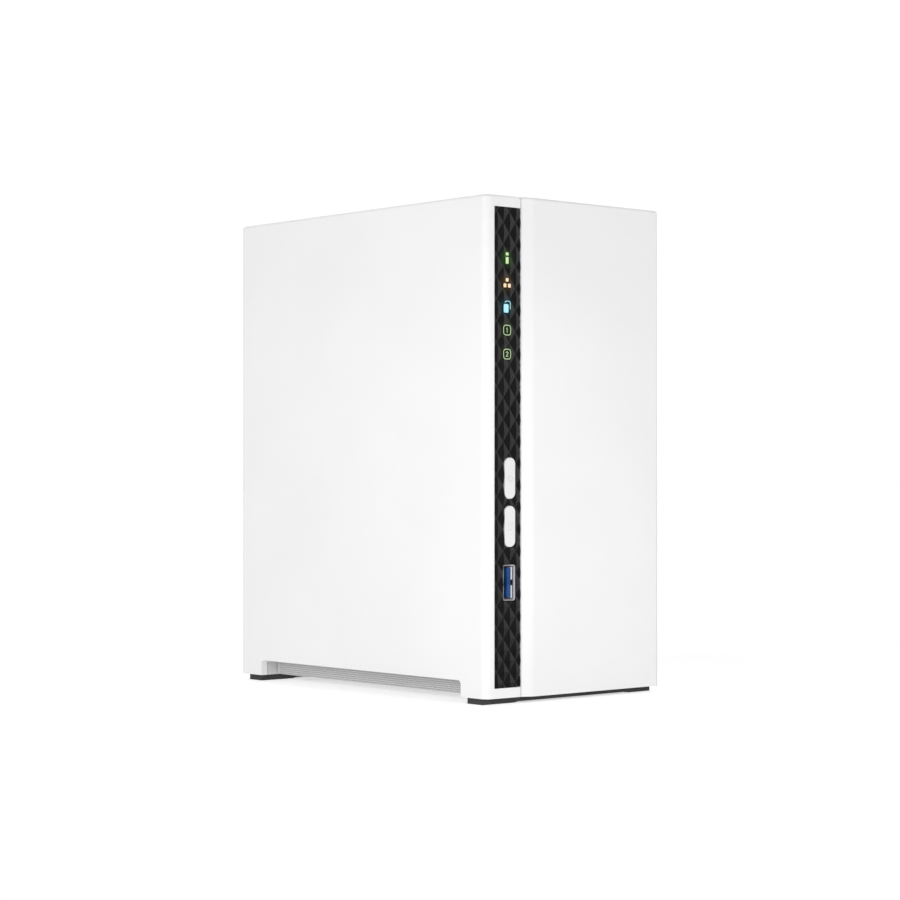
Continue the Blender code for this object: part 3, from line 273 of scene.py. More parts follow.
def from_sign(coords, height):
    """How far a point is from the middle of the sign at a height."""
    centre = FACET @ Vector((SIGN_X, LIT_DEPTH, height)) * MM
    return node(coords, "VectorMath", {0: coords, 1: centre}, operation="DISTANCE").outputs["Value"]


def smoked_strip_painted_glow(name):
    """Smoked glossy plastic. Round each lit sign, a painted glow in the sign's colour stands in for the light
    the sign throws on it.
    """
    made, shader, coords = blank(name, specular=0.6)
    patches = noise(coords, 30, 4)
    tint(shader, patches, (0.3, (0.0045, 0.0045, 0.0048)), (0.7, (0.0075, 0.0075, 0.0079)))
    roughen(shader, noise(coords, 900), 0.2, 0.3)
    bumped(shader, noise(coords, 3000), 3e-6, 0.3)
    painted_glow_sum = None
    for height, _, painted_glow in SIGNS.values():
        near = node(coords, "MapRange", {
            "Value": from_sign(coords, height), "From Min": PAINTED_GLOW_NEAR * MM, "From Max": PAINTED_GLOW_FAR * MM,
            "To Min": 1, "To Max": 0}, interpolation_type="SMOOTHSTEP").outputs["Result"]
        lit = node(coords, "VectorMath", {0: painted_glow, "Scale": near}, operation="SCALE").outputs["Vector"]
        painted_glow_sum = lit if painted_glow_sum is None else node(coords, "VectorMath", {0: painted_glow_sum, 1: lit}).outputs["Vector"]
    # The painted glow of all the signs goes in as the strip's emission.
    feed(shader, "Emission Color", painted_glow_sum)
    shader.inputs["Emission Strength"].default_value = 1
    return made


def lit_sign(name, colour, height):
    """A sign that shines through the strip, paler in its middle."""
    made, shader, coords = blank(name)
    near = node(coords, "MapRange", {"Value": from_sign(coords, height),
                                     "From Max": SIGN_FADE * MM}).outputs["Result"]
    pale = [c + (1 - c) * 0.25 * max(colour) for c in colour]
    tint(shader, near, (0, [0.05 * c for c in pale]), (1, [0.05 * c for c in colour]))
    feed(shader, "Emission Color", ramp(near, [(0, pale), (1, colour)]))
    shader.inputs["Emission Strength"].default_value = 1
    roughen(shader, noise(coords, 1200), 0.3, 0.5)
    return made


def zinc_sheet(name):
    """Zinc-plated steel sheet, with faint crystal flakes and rolling marks."""
    made, shader, coords = blank(name, 0.7)
    flakes = node(coords, "TexVoronoi", {"Vector": coords, "Scale": 340}).outputs["Color"]
    grey = node(coords, "RGBToBW", {"Color": flakes}).outputs["Val"]
    tint(shader, grey, (0.2, (0.57, 0.58, 0.6)), (0.8, (0.66, 0.67, 0.69)))
    rolled = noise(stretched(coords, (1, 1, 0.06)), 1400)
    roughen(shader, rolled, 0.3, 0.48)
    bumped(shader, rolled, 6e-6, 0.5)
    return made


def circuit_board(name):
    """Green solder resist over copper tracks, with tinned vias."""
    made, shader, coords = blank(name)
    upright = node(coords, "Mapping", {"Vector": coords, "Rotation": (0, math.pi / 2, 0)}).outputs["Vector"]
    bands = node(coords, "TexBrick", {
        "Vector": upright, "Color1": (0.9, 0.9, 0.9, 1), "Color2": (0.65, 0.65, 0.65, 1),
        "Mortar": (0, 0, 0, 1), "Scale": 220, "Mortar Size": 0.03, "Brick Width": 1.9,
        "Row Height": 0.22}).outputs["Color"]
    shade = node(coords, "RGBToBW", {"Color": bands}).outputs["Val"]
    tracks = ramp(shade, [(0.25, (0.01, 0.085, 0.04)), (0.6, (0.018, 0.15, 0.07)),
                          (0.95, (0.03, 0.2, 0.095))])
    vias = node(coords, "TexVoronoi", {"Vector": coords, "Scale": 240}).outputs["Distance"]
    dot = node(coords, "Math", {0: vias, 1: 0.11}, operation="LESS_THAN").outputs[0]
    mixed = node(coords, "Mix", {0: dot, 6: tracks, 7: (0.62, 0.6, 0.52, 1)}, data_type="RGBA").outputs[2]
    feed(shader, "Base Color", mixed)
    feed(shader, "Metallic", dot)
    roughen(shader, shade, 0.42, 0.28)
    bumped(shader, shade, 2.5e-5, 0.5)
    return made


def wound(name, dark, light, turns):
    """Enamelled wire laid in even turns."""
    made, shader, coords = blank(name, 1)
    wave = node(coords, "TexWave", {"Vector": coords, "Scale": turns, "Distortion": 0.6, "Detail": 1},
                bands_direction="Y").outputs["Fac"]
    tint(shader, wave, (0.1, dark), (0.7, light))
    roughen(shader, wave, 0.45, 0.28)
    bumped(shader, wave, 8e-5, 0.7)
    return made


def ribbon(name):
    """A flat lead: conductors side by side, a millimetre apart, under a clear film."""
    made, shader, coords = blank(name)
    high = node(coords, "SeparateXYZ", {"Vector": coords}).outputs["Z"]
    turn = node(coords, "Math", {0: high, 1: 2 * math.pi / MM}, operation="MULTIPLY").outputs[0]
    wave = spread(node(coords, "Math", {0: turn}, operation="SINE").outputs[0], 0.5, 1)
    tint(shader, wave, (0.2, (0.52, 0.54, 0.56)), (0.6, (0.83, 0.84, 0.84)))
    roughen(shader, wave, 0.45, 0.3)
    bumped(shader, wave, 6e-5, 0.5)
    return made


def clear(name):
    """Clear moulded acrylic with slight waves in it."""
    made, shader, coords = blank(name)
    shader.inputs["Transmission Weight"].default_value = 0.9
    shader.inputs["IOR"].default_value = 1.49
    waves = noise(coords, 300)
    tint(shader, waves, (0.3, (0.86, 0.92, 0.92)), (0.7, (0.95, 0.98, 0.98)))
    roughen(shader, waves, 0.08, 0.2)
    return made


WHITE = moulded_white("white_plastic", (0.845, 0.845, 0.85), (0.875, 0.875, 0.875))
# The tray and the intake grilles are darker than the outer white. This is painted shade for the shaded pocket
# under the housing's side notch, where they show.
TRAY_PAINTED_SHADE = moulded_white("tray_plastic_painted_shade", (0.61, 0.61, 0.61), (0.66, 0.66, 0.655), (0.46, 0.6))
WHITE_MATT = moulded_white("white_inner_plastic", (0.79, 0.79, 0.79), (0.83, 0.83, 0.825), (0.46, 0.6))
BUTTON_WHITE = moulded_white("button_plastic", (0.75, 0.75, 0.75), (0.79, 0.79, 0.79), (0.24, 0.34))
IMPRINT = finish("imprint", (0.62, 0.63, 0.64), (0.67, 0.68, 0.69), (0.4, 0.55))
GRILLE_PAINTED_SHADE = moulded_white("grille_plastic_painted_shade", (0.6, 0.6, 0.6), (0.65, 0.65, 0.65), (0.5, 0.62))
BLACK = smoked_strip_painted_glow("smoked_strip_painted_glow")
DARK = finish("black_plastic", (0.02, 0.02, 0.021), (0.032, 0.032, 0.033), (0.36, 0.52), grain=2600,
              bump=1.2e-5)
RUBBER = finish("rubber", (0.04, 0.04, 0.042), (0.06, 0.06, 0.062), (0.72, 0.9), specular=0.3,
                grain=3200, bump=2.5e-5)
STEEL = finish("plated_steel", (0.58, 0.59, 0.61), (0.7, 0.7, 0.72), (0.22, 0.38), 0.8, grain=1800,
               bump=2e-6, stretch=(1, 0.12, 1))
# Dark grey: painted shade for the screws' drive recesses.
RECESS_PAINTED_SHADE = finish("screw_recess_painted_shade", (0.06, 0.06, 0.062), (0.1, 0.1, 0.103), (0.5, 0.62), 0.3, bump=3e-6)
ZINC = zinc_sheet("zinc_sheet")
CAST = finish("cast_aluminium", (0.52, 0.53, 0.54), (0.64, 0.645, 0.655), (0.42, 0.62), 0.7, patch=90,
              grain=900, bump=3.5e-5)
ANODISED = finish("anodised_aluminium", (0.5, 0.51, 0.53), (0.6, 0.61, 0.63), (0.34, 0.48), 1,
                  grain=1500, bump=6e-6, stretch=(1, 1, 0.08))
PRESSED = finish("pressed_steel", (0.6, 0.61, 0.63), (0.7, 0.71, 0.72), (0.24, 0.34), 0.8, patch=20,
                 grain=1300, bump=4e-6, stretch=(1, 0.06, 1))
TINNED = finish("tinned_steel", (0.66, 0.64, 0.68), (0.76, 0.74, 0.78), (0.34, 0.46), 0.35, grain=1800,
                bump=5e-6)
# Near-white and barely metallic: painted light, so the springs in the shell's shade come out as bright as lit
# tin.
TIN_PAINTED_LIGHT = finish("tin_painted_light", (0.86, 0.86, 0.87), (0.94, 0.94, 0.95), (0.34, 0.46), 0.1, grain=1800,
                    bump=5e-6)
GOLD = finish("gold_contact", (0.8, 0.56, 0.22), (0.9, 0.68, 0.32), (0.2, 0.34), 1)
BOARD = circuit_board("circuit_board")
BLUE = finish("blue_plastic", (0.006, 0.045, 0.17), (0.013, 0.085, 0.27), (0.28, 0.42), patch=420)
CLEAR = clear("clear_plastic")
COPPER = wound("copper_winding", (0.3, 0.12, 0.05), (0.8, 0.42, 0.22), 500)
FOIL = finish("blank_label", (0.7, 0.7, 0.69), (0.78, 0.78, 0.77), (0.4, 0.5), patch=70)
CHIP = finish("chip_resin", (0.018, 0.018, 0.019), (0.03, 0.03, 0.031), (0.42, 0.58), patch=160)
CERAMIC = finish("ceramic", (0.34, 0.25, 0.16), (0.52, 0.42, 0.3), (0.35, 0.5), patch=500)
NATURAL = finish("natural_nylon", (0.7, 0.68, 0.6), (0.8, 0.78, 0.7), (0.35, 0.5), patch=120)
SLEEVE = finish("capacitor_can", (0.6, 0.61, 0.64), (0.72, 0.73, 0.75), (0.22, 0.34), 1)
RIBBON = ribbon("flat_lead")
GREEN_LAMP = finish("green_lamp", (0.1, 0.42, 0.12), (0.2, 0.62, 0.22), (0.2, 0.3))
AMBER_LAMP = finish("amber_lamp", (0.62, 0.3, 0.03), (0.8, 0.46, 0.08), (0.2, 0.3))
WIRE_COLOURS = {
    "black": finish("wire_black", (0.015, 0.015, 0.016), (0.028, 0.028, 0.03), (0.35, 0.5)),
    "red": finish("wire_red", (0.42, 0.02, 0.02), (0.6, 0.04, 0.03), (0.35, 0.5)),
    "yellow": finish("wire_yellow", (0.62, 0.44, 0.03), (0.78, 0.58, 0.06), (0.35, 0.5)),
}

CAD_LOOKS = {  # by the node's material slot in the record
    "white_plastic": WHITE, "black_gloss": BLACK, "dark_plastic": DARK, "rubber": RUBBER, "steel": STEEL,
    "aluminium": ANODISED, "brass": GOLD, "circuit_board": BOARD, "blue_plastic": BLUE,
    "clear_plastic": CLEAR, "copper": COPPER,
}
NODE_LOOKS = {  # by the node's own name
    "drive_cage": ZINC, "drive_1_tub": CAST, "drive_2_tub": CAST, "drive_1_lid": PRESSED,
    "drive_2_lid": PRESSED, "front_lead": RIBBON, "base_tray": TRAY_PAINTED_SHADE, "rear_panel": WHITE_MATT,
}
CRISP = {"bezel_strip"}  # its facets meet at low angles and stay sharp
SHARP_ANGLE, WELD = 32, 1e-6  # degrees and metres


def smoothing():
    """Geometry nodes for the CAD meshes: join their split corners and keep only real edges sharp."""
    tree = bpy.data.node_groups.new("soft_shading", "GeometryNodeTree")
    for way in ("INPUT", "OUTPUT"):
        tree.interface.new_socket("Geometry", in_out=way, socket_type="NodeSocketGeometry")
    start, end, weld, angle, sharp, normal = map(tree.nodes.new, (
        "NodeGroupInput", "NodeGroupOutput", "GeometryNodeMergeByDistance", "GeometryNodeInputMeshEdgeAngle",
        "FunctionNodeCompare", "GeometryNodeSetMeshNormal"))
    weld.inputs["Distance"].default_value = WELD
    sharp.data_type, sharp.operation = "FLOAT", "GREATER_THAN"
    sharp.inputs["B"].default_value = math.radians(SHARP_ANGLE)
    normal.mode = "SHARPNESS"
    for source, target in ((start.outputs[0], weld.inputs["Geometry"]),
                           (weld.outputs[0], normal.inputs["Mesh"]),
                           (angle.outputs["Unsigned Angle"], sharp.inputs["A"]),
                           (sharp.outputs["Result"], normal.inputs["Edge Sharpness"]),
                           (normal.outputs[0], end.inputs[0])):
        tree.links.new(source, target)
    return tree


def dress_cad():
    """Gives every CAD node its finish and soft edges. Large flat faces keep flat shading."""
    soft = smoothing()
    for name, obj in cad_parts.items():
        slot = obj.material_slots[0].material.name
        obj.material_slots[0].material = NODE_LOOKS.get(name, CAD_LOOKS[slot])
        if name not in CRISP:
            obj.modifiers.new("soft_shading", "NODES").node_group = soft
            weighted = obj.modifiers.new("flat_faces", "WEIGHTED_NORMAL")
            weighted.mode, weighted.weight, weighted.keep_sharp = "FACE_AREA", 100, True


# ---- mesh helpers, in millimetres

TO_AXIS = {"X": lambda u, v, w: (w, u, v), "Y": lambda u, v, w: (u, w, v), "Z": lambda u, v, w: (u, v, w)}


def piece(name, bm, looks, body="case", place=None, replaces=(), sharp=30):
    """A piece that rides on a body, from a bmesh in millimetres and the frame it is drawn in."""
    if place is not None:
        bmesh.ops.transform(bm, matrix=place, verts=bm.verts)
    bmesh.ops.scale(bm, vec=(MM, MM, MM), verts=bm.verts)
    bmesh.ops.recalc_face_normals(bm, faces=bm.faces)
    mesh = bpy.data.meshes.new(name)
    bm.to_mesh(mesh)
    bm.free()
    mesh.shade_smooth()
    mesh.set_sharp_from_angle(angle=math.radians(sharp))
    mesh.materials.append(looks)
    # Faces marked 1, the screw drive recesses, take the dark painted shade.
    if any(face.material_index for face in mesh.polygons):
        mesh.materials.append(RECESS_PAINTED_SHADE)
    obj = added(name, mesh)
    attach(obj, body)
    if replaces:
        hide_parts(*replaces)
    return obj


def rounded(x, y, width, height, radius, steps=3):
    """The outline of a rectangle with round corners, about its middle."""
    points = []
    for quarter, (sx, sy) in enumerate(((1, 1), (-1, 1), (-1, -1), (1, -1))):
        cx, cy = x + sx * (width / 2 - radius), y + sy * (height / 2 - radius)
        for k in range(steps + 1):
            a = math.pi / 2 * (quarter + k / steps)
            points.append((cx + radius * math.cos(a), cy + radius * math.sin(a)))
    return points


def spaced(count, pitch, middle):
    """Places a pitch apart, about a middle."""
    return [middle + (k - (count - 1) / 2) * pitch for k in range(count)]


def circle(x, y, radius, sides, turn=0):
    return [(x + radius * math.cos(turn + 2 * math.pi * k / sides),
             y + radius * math.sin(turn + 2 * math.pi * k / sides)) for k in range(sides)]


def stroke(points, width):
    """The outline of a line of even width, with mitred bends."""
    p = [Vector(q) for q in points]
    left, right = [], []
    for i, here in enumerate(p):
        before = (here - p[i - 1]).normalized() if i else (p[1] - p[0]).normalized()
        after = (p[i + 1] - here).normalized() if i < len(p) - 1 else before
        way = (before + after).normalized()
        side = Vector((-way.y, way.x)) * (width / 2 / max(0.5, way.dot(before)))
        left.append(tuple(here + side))
        right.append(tuple(here - side))
    return left + right[::-1]


def sheet(bm, outline, holes, axis="Z", level=0):
    """A flat filled outline with holes, drawn across an axis. Gives back its new faces."""
    edges = []
    for points in (outline, *holes):
        verts = [bm.verts.new(TO_AXIS[axis](u, v, level)) for u, v in points]
        edges += [bm.edges.new((a, b)) for a, b in zip(verts, verts[1:] + verts[:1])]
    made = bmesh.ops.triangle_fill(bm, use_beauty=True, use_dissolve=False, edges=edges)["geom"]
    return [f for f in made if isinstance(f, bmesh.types.BMFace)]


def thicken(bm, faces, shift):
    """Closes a sheet with a second skin, moved by a shift."""
    verts = {v for f in faces for v in f.verts}
    rim = [e for e in {e for f in faces for e in f.edges} if e.is_boundary]
    twin = {v: bm.verts.new(v.co + Vector(shift)) for v in verts}
    for f in faces:
        bm.faces.new([twin[v] for v in reversed(f.verts)])
    for e in rim:
        a, b = e.verts
        bm.faces.new((a, b, twin[b], twin[a]))


def slab(bm, outline, axis, low, high, holes=()):
    """A flat plate with holes between two places along an axis."""
    thicken(bm, sheet(bm, outline, holes, axis, low), TO_AXIS[axis](0, 0, high - low))


def loft(bm, rings, caps=(True, True)):
    """A skin through rings of equal length, with caps at its ends."""
    rows = [[bm.verts.new(p) for p in ring] for ring in rings]
    for a, b in zip(rows, rows[1:]):
        for i, v in enumerate(a):
            j = (i + 1) % len(a)
            bm.faces.new((v, a[j], b[j], b[i]))
    if caps[0]:
        bm.faces.new(rows[0][::-1])
    if caps[1]:
        bm.faces.new(rows[-1])


def block(bm, low, high, edge):
    """A box with eased edges."""
    low, high = Vector(low), Vector(high)
    matrix = Matrix.Translation((low + high) / 2) @ Matrix.Diagonal((*(high - low), 1))
    verts = bmesh.ops.create_cube(bm, size=1, matrix=matrix)["verts"]
    edges = list({e for v in verts for e in v.link_edges})
    edge = min(edge, 0.4 * min(high - low))
    bmesh.ops.bevel(bm, geom=edges, offset=edge, segments=2, profile=0.5, affect="EDGES")


def frame_to(base, axis):
    """A frame whose Z runs along an axis from a point."""
    return Matrix.Translation(base) @ Vector(axis).to_track_quat("Z", "Y").to_matrix().to_4x4()


def turned(bm, base, axis, profile, sides=24):
    """A turned solid from (along, radius) steps."""
    place = frame_to(base, axis)
    loft(bm, [[place @ Vector((x, y, along)) for x, y in circle(0, 0, radius, sides)]
              for along, radius in profile])


CROSS = [(1, -0.26), (1, 0.26), (0.26, 0.26), (0.26, 1), (-0.26, 1), (-0.26, 0.26), (-1, 0.26), (-1, -0.26),
         (-0.26, -0.26), (-0.26, -1), (0.26, -1), (0.26, -0.26)]
SLOT = [(1, -0.13), (1, 0.13), (0, 0.13), (-1, 0.13), (-1, -0.13), (0, -0.13)]


def screw(bm, base, axis, radius, height, shank, drive=CROSS, reach=0.5, teeth=0, depth=0.6):
    """A pan-head screw on its shank, its drive recess cut in and darkened with painted shade. Teeth knurl the
    rim of a thumb screw.

    The recess's reach is a part of the radius, and its depth a part of the height.
    """
    place = frame_to(base, axis)
    sides, cut, top = (2 * teeth, 0.07, 0.88 * radius) if teeth else (24, 0, 0.7 * radius)
    rim, shoulder, neck = (0.82, 0.96, 0.94) if teeth else (0.55, 0.9, 0.86)
    thin, long = shank

    def ring(r, along, knurl=0):
        return [place @ Vector((x * (1 - knurl * (k % 2)), y * (1 - knurl * (k % 2)), along))
                for k, (x, y) in enumerate(circle(0, 0, r, sides))]

    loft(bm, [ring(0.7 * thin, -long), ring(thin, -long + 0.5), ring(thin, 0), ring(0.96 * radius, 0),
              ring(radius, 0.1 * height, cut), ring(radius, rim * height, cut),
              ring(shoulder * radius, neck * height), ring(top, height)], caps=(True, False))
    mouth = [(reach * radius * x, reach * radius * y) for x, y in drive]
    crown = sheet(bm, circle(0, 0, top, sides), [mouth], level=height)
    for v in {v for face in crown for v in face.verts}:
        v.co = place @ v.co
    sunk = height - depth * height
    before = set(bm.faces)
    loft(bm, [[place @ Vector((x, y, height)) for x, y in mouth],
              [place @ Vector((0.86 * x, 0.86 * y, sunk)) for x, y in mouth]], caps=(False, True))
    # The recess walls and floor take the dark painted shade.
    for face in set(bm.faces) - before:
        face.material_index = 1
    bmesh.ops.remove_doubles(bm, verts=bm.verts, dist=1e-5)


def add_wire(bm, line, radius, sides=8):
    """A round skin along a line of points, its rings turned as little as possible."""
    line = [Vector(q) for q in line]
    ways = [(b - a).normalized() for a, b in zip(line, line[1:])]
    ways = [ways[0]] + [(a + b).normalized() for a, b in zip(ways, ways[1:])] + [ways[-1]]
    side = ways[0].orthogonal().normalized()
    rings = []
    for at, way in zip(line, ways):
        side = (side - way * side.dot(way)).normalized()
        up = way.cross(side)
        rings.append([at + radius * (side * math.cos(a) + up * math.sin(a))
                      for a in (2 * math.pi * k / sides for k in range(sides))])
    loft(bm, rings)


# ---- the lit signs on the strip

WINDOW_FRONT, WINDOW_BACK = 0.12, 0.9  # the signs stand level with the strip's peaks, and are let into it


def sign_shapes():
    """The outlines of each sign, about its own centre, with their holes."""
    one = [(-0.36, 0.5), (0, 0.82), (0, -0.9)]
    two = [(-0.55, 0.42), (-0.32, 0.78), (0.1, 0.85), (0.45, 0.6), (0.38, 0.18), (-0.5, -0.78),
           (0.6, -0.78)]
    ring = (rounded(0, 0, 3.75, 3.9, 1.15, 4), [rounded(0, 0, 3.15, 3.3, 0.85, 4)])
    arch = [(-1.05, 1.5), (-0.85, 1.88), (-0.45, 2.02), (0.85, 2.02), (1.3, 1.85), (1.5, 1.4), (1.5, -0.9)]
    return {
        "status": [(rounded(0, 1.55, 1.4, 1.1, 0.25), []), (rounded(0, -0.85, 1.4, 2.5, 0.25), [])],
        "network": [(rounded(0, 1.15, 1.4, 1.3, 0.3), []), (rounded(-1.08, -0.95, 1.4, 1.45, 0.3), []),
                    (rounded(1.08, -0.95, 1.4, 1.45, 0.3), [])],
        "usb": [(rounded(-0.5, -0.65, 2.35, 3.2, 0.5), []), (stroke(arch, 0.3), [])],
        "disk_1": [ring, (stroke(one, 0.28), [])],
        "disk_2": [ring, (stroke(two, 0.28), [])],
    }


def signs():
    """Each sign is a lit front on the end of its light pipe, with the strip's own black at its sides."""
    for name, shapes in sign_shapes().items():
        z, colour, _ = SIGNS[name]
        bm = bmesh.new()
        for number, (outline, holes) in enumerate(shapes):
            moved, *cut = ([(SIGN_X + u, z + v) for u, v in points] for points in (outline, *holes))
            slab(bm, moved, "Y", WINDOW_FRONT - 0.01 * number, WINDOW_BACK, cut)
        sign = piece("sign_" + name, bm, lit_sign("sign_" + name, colour, z), place=FACET)
        sign.data.materials.append(BLACK)
        square = FACET.to_3x3() @ Vector((0, -1, 0))
        for face in sign.data.polygons:
            face.material_index = int(face.normal.dot(square) < 0.9)


# ---- front buttons and socket

BUTTONS = {"power": 83.8, "copy": 65.9}
BUTTON_X, BUTTON_WIDE, BUTTON_HIGH, BUTTON_ROUND = 1.3, 5.1, 15.3, 2.3
STEM_WIDE, STEM_END = 2.8, 9.4
FLANGE_FRONT, FLANGE_BACK, FLANGE_GROW = 3.1, 4.3, 1.8  # the rim inside that keeps a cap in its opening
EASED = 0.35  # how far the caps' front edges are rounded
MARK = (-0.03, 0.2)  # front and back of the marks on them

USB_X, USB_Z = 1.25, 45
SHELL_WIDE, SHELL_HIGH, SHELL_WALL, SHELL_ROUND = 5.8, 13.2, 0.4, 0.75
SHELL_FRONT, SHELL_DEEP = 0.65, 13.7
TONGUE_LEFT = 0.45
CONTACT_PITCH = 2.5


def pill(z, depth, inset, grow=0):
    """One ring of a button's cap, with its corners at the cap's own roundness less the inset."""
    wide, high = BUTTON_WIDE - 2 * inset + grow, BUTTON_HIGH - 2 * inset + grow
    radius = BUTTON_ROUND - inset
    return [(x, depth, y) for x, y in rounded(BUTTON_X, z, wide, high, radius, 5)]


def stem(z, depth):
    return [(x, depth, y) for x, y in rounded(BUTTON_X, z, STEM_WIDE, STEM_WIDE, 0.4, 5)]


def buttons():
    """A rounded cap with its flange and stem in place of each CAD button, and its mark."""
    for name, z in BUTTONS.items():
        bm = bmesh.new()
        rings = [stem(z, STEM_END), stem(z, FLANGE_BACK), pill(z, FLANGE_BACK, 0, FLANGE_GROW),
                 pill(z, FLANGE_FRONT, 0, FLANGE_GROW), pill(z, FLANGE_FRONT, 0), pill(z, EASED, 0)]
        for k in range(1, 6):
            a = math.pi / 2 * k / 5
            rings.append(pill(z, EASED * (1 - math.sin(a)), EASED * (1 - math.cos(a))))
        rings.append(pill(z, 0, 1.6))
        loft(bm, rings)
        piece(f"{name}_button_cap", bm, BUTTON_WHITE, f"{name}_button", FACET,
              [f"{name}_button"], 40)
    bm = bmesh.new()
    x, z = BUTTON_X, BUTTONS["power"]
    arc = [(x + 1.05 * math.sin(a), z - 0.15 + 1.05 * math.cos(a))
           for a in (math.radians(40 + 280 * k / 16) for k in range(17))]
    slab(bm, stroke(arc, 0.3), "Y", *MARK)
    slab(bm, stroke([(x, z + 0.1), (x, z + 1.25)], 0.3), "Y", *MARK)
    piece("power_button_mark", bm, IMPRINT, "power_button", FACET)
    bm = bmesh.new()
    z = BUTTONS["copy"]
    slab(bm, rounded(x - 0.3, z - 0.35, 1.7, 2.3, 0.25), "Y", *MARK,
         [rounded(x - 0.3, z - 0.35, 1.2, 1.8, 0.12)])
    back = [(x - 0.5, z + 1.15), (x - 0.5, z + 1.45), (x + 1.15, z + 1.45), (x + 1.15, z - 0.75),
            (x + 0.85, z - 0.75)]
    slab(bm, stroke(back, 0.25), "Y", *MARK)
    piece("copy_button_mark", bm, IMPRINT, "copy_button", FACET)


def usb_front():
    """The folded socket shell with a flared mouth, its four springs, and the contacts on the tongue."""
    def ring(depth, grow):
        wide, high = SHELL_WIDE + 2 * grow, SHELL_HIGH + 2 * grow
        return [(x, depth, y) for x, y in rounded(USB_X, USB_Z, wide, high, SHELL_ROUND + grow)]

    bm = bmesh.new()
    loft(bm, [ring(SHELL_DEEP - 0.5, -SHELL_WALL), ring(SHELL_FRONT + 0.75, -SHELL_WALL),
              ring(SHELL_FRONT, -0.1), ring(SHELL_FRONT, 0), ring(SHELL_DEEP, 0)])
    piece("usb_front_shell", bm, TINNED, place=FACET, replaces=["usb3_shell"], sharp=40)

    # Sprung leaves stand in a slot in the shell's right wall, and smaller ones in its left wall. The slots
    # are not cut: a thin dark block on the inside of each wall is painted shade where they would show.
    springs, slots = bmesh.new(), bmesh.new()
    for way, half in ((1, 2.35), (-1, 1.2)):
        wall = USB_X + way * (SHELL_WIDE / 2 - SHELL_WALL)
        leaf = [(wall - way * x, y)
                for x, y in ((0.02, 1.85), (0.45, 2.2), (0.5, 2.8), (0.3, 4.6), (0.06, 5.2))]
        for s in (-1, 1):
            z = USB_Z + s * 3.4
            slab(springs, stroke(leaf, 0.14), "Z", z - half, z + half)
        slot = sorted((wall - way * 0.02, wall + way * 0.05))
        block(slots, (slot[0], 1.42, USB_Z - 6.1), (slot[1], 5.6, USB_Z + 6.1), 0.01)
    piece("usb_front_springs", springs, TIN_PAINTED_LIGHT, place=FACET)
    piece("usb_front_slot_shades", slots, DARK, place=FACET)

    bm = bmesh.new()
    for z in spaced(4, CONTACT_PITCH, USB_Z):
        block(bm, (TONGUE_LEFT - 0.02, 3, z - 0.5), (TONGUE_LEFT + 0.05, 6.2, z + 0.5), 0.03)
    for z in spaced(5, 2, USB_Z):
        block(bm, (TONGUE_LEFT - 0.09, 7.4, z - 0.3), (TONGUE_LEFT + 0.05, 10, z + 0.3), 0.03)
    piece("usb_front_contacts", bm, GOLD, place=FACET)


# ---- side intakes

MESH_PITCH, MESH_HOLE, MESH_ROWS, ROW_PITCH = 0.98, 0.3, 7, 0.8


def intakes():
    """Finely perforated strips, where the CAD model has coarser holes. Every other row is half a step on."""
    for side in ("left", "right"):
        node_name = "intake_grille_" + side
        low, high = mm_box(node_name)
        y, z = (low.y + high.y) / 2, (low.z + high.z) / 2
        outline = rounded(y, z, high.y - low.y, high.z - low.z, 0.4, 2)
        count = int((high.y - low.y - 3) / MESH_PITCH)
        holes = [circle(u + (0.25 if row % 2 else -0.25) * MESH_PITCH, v, MESH_HOLE, 6, math.pi / 6)
                 for row, v in enumerate(spaced(MESH_ROWS, ROW_PITCH * MESH_PITCH, z))
                 for u in spaced(count, MESH_PITCH, y)]
        bm = bmesh.new()
        slab(bm, outline, "X", low.x, high.x, holes)
        # The grille's grey is painted shade for the pocket it stands in.
        piece("intake_mesh_" + side, bm, GRILLE_PAINTED_SHADE, replaces=[node_name])


# ---- rear: sockets, screws and fan

PANEL_BACK = 76.73
PORT_BACK = PANEL_BACK + 0.2
LAN_Z, LAN_PITCH = 61.5, 1.02
USB2_Z, USB2_ROOMS, USB2_TONGUES = 42, (-37.8, -30), (-34.5, -26.7)
FAN_Z = 120
COVER_WALL = 2.2
CAGE_LEFT, CAGE_RIGHT, CAGE_FLOOR = -16.3, 40.9, 22.9
BOARD_FACE, BACKPLANE_TOP, BASE_UNDER = -38.6, 12.6, 2.3
BOARD_SCREWS_Y, BOARD_SCREWS_Z = (-34, 40), (22, 71)
HEAD_GAP = 0.1  # between a screw's head and the wall it holds


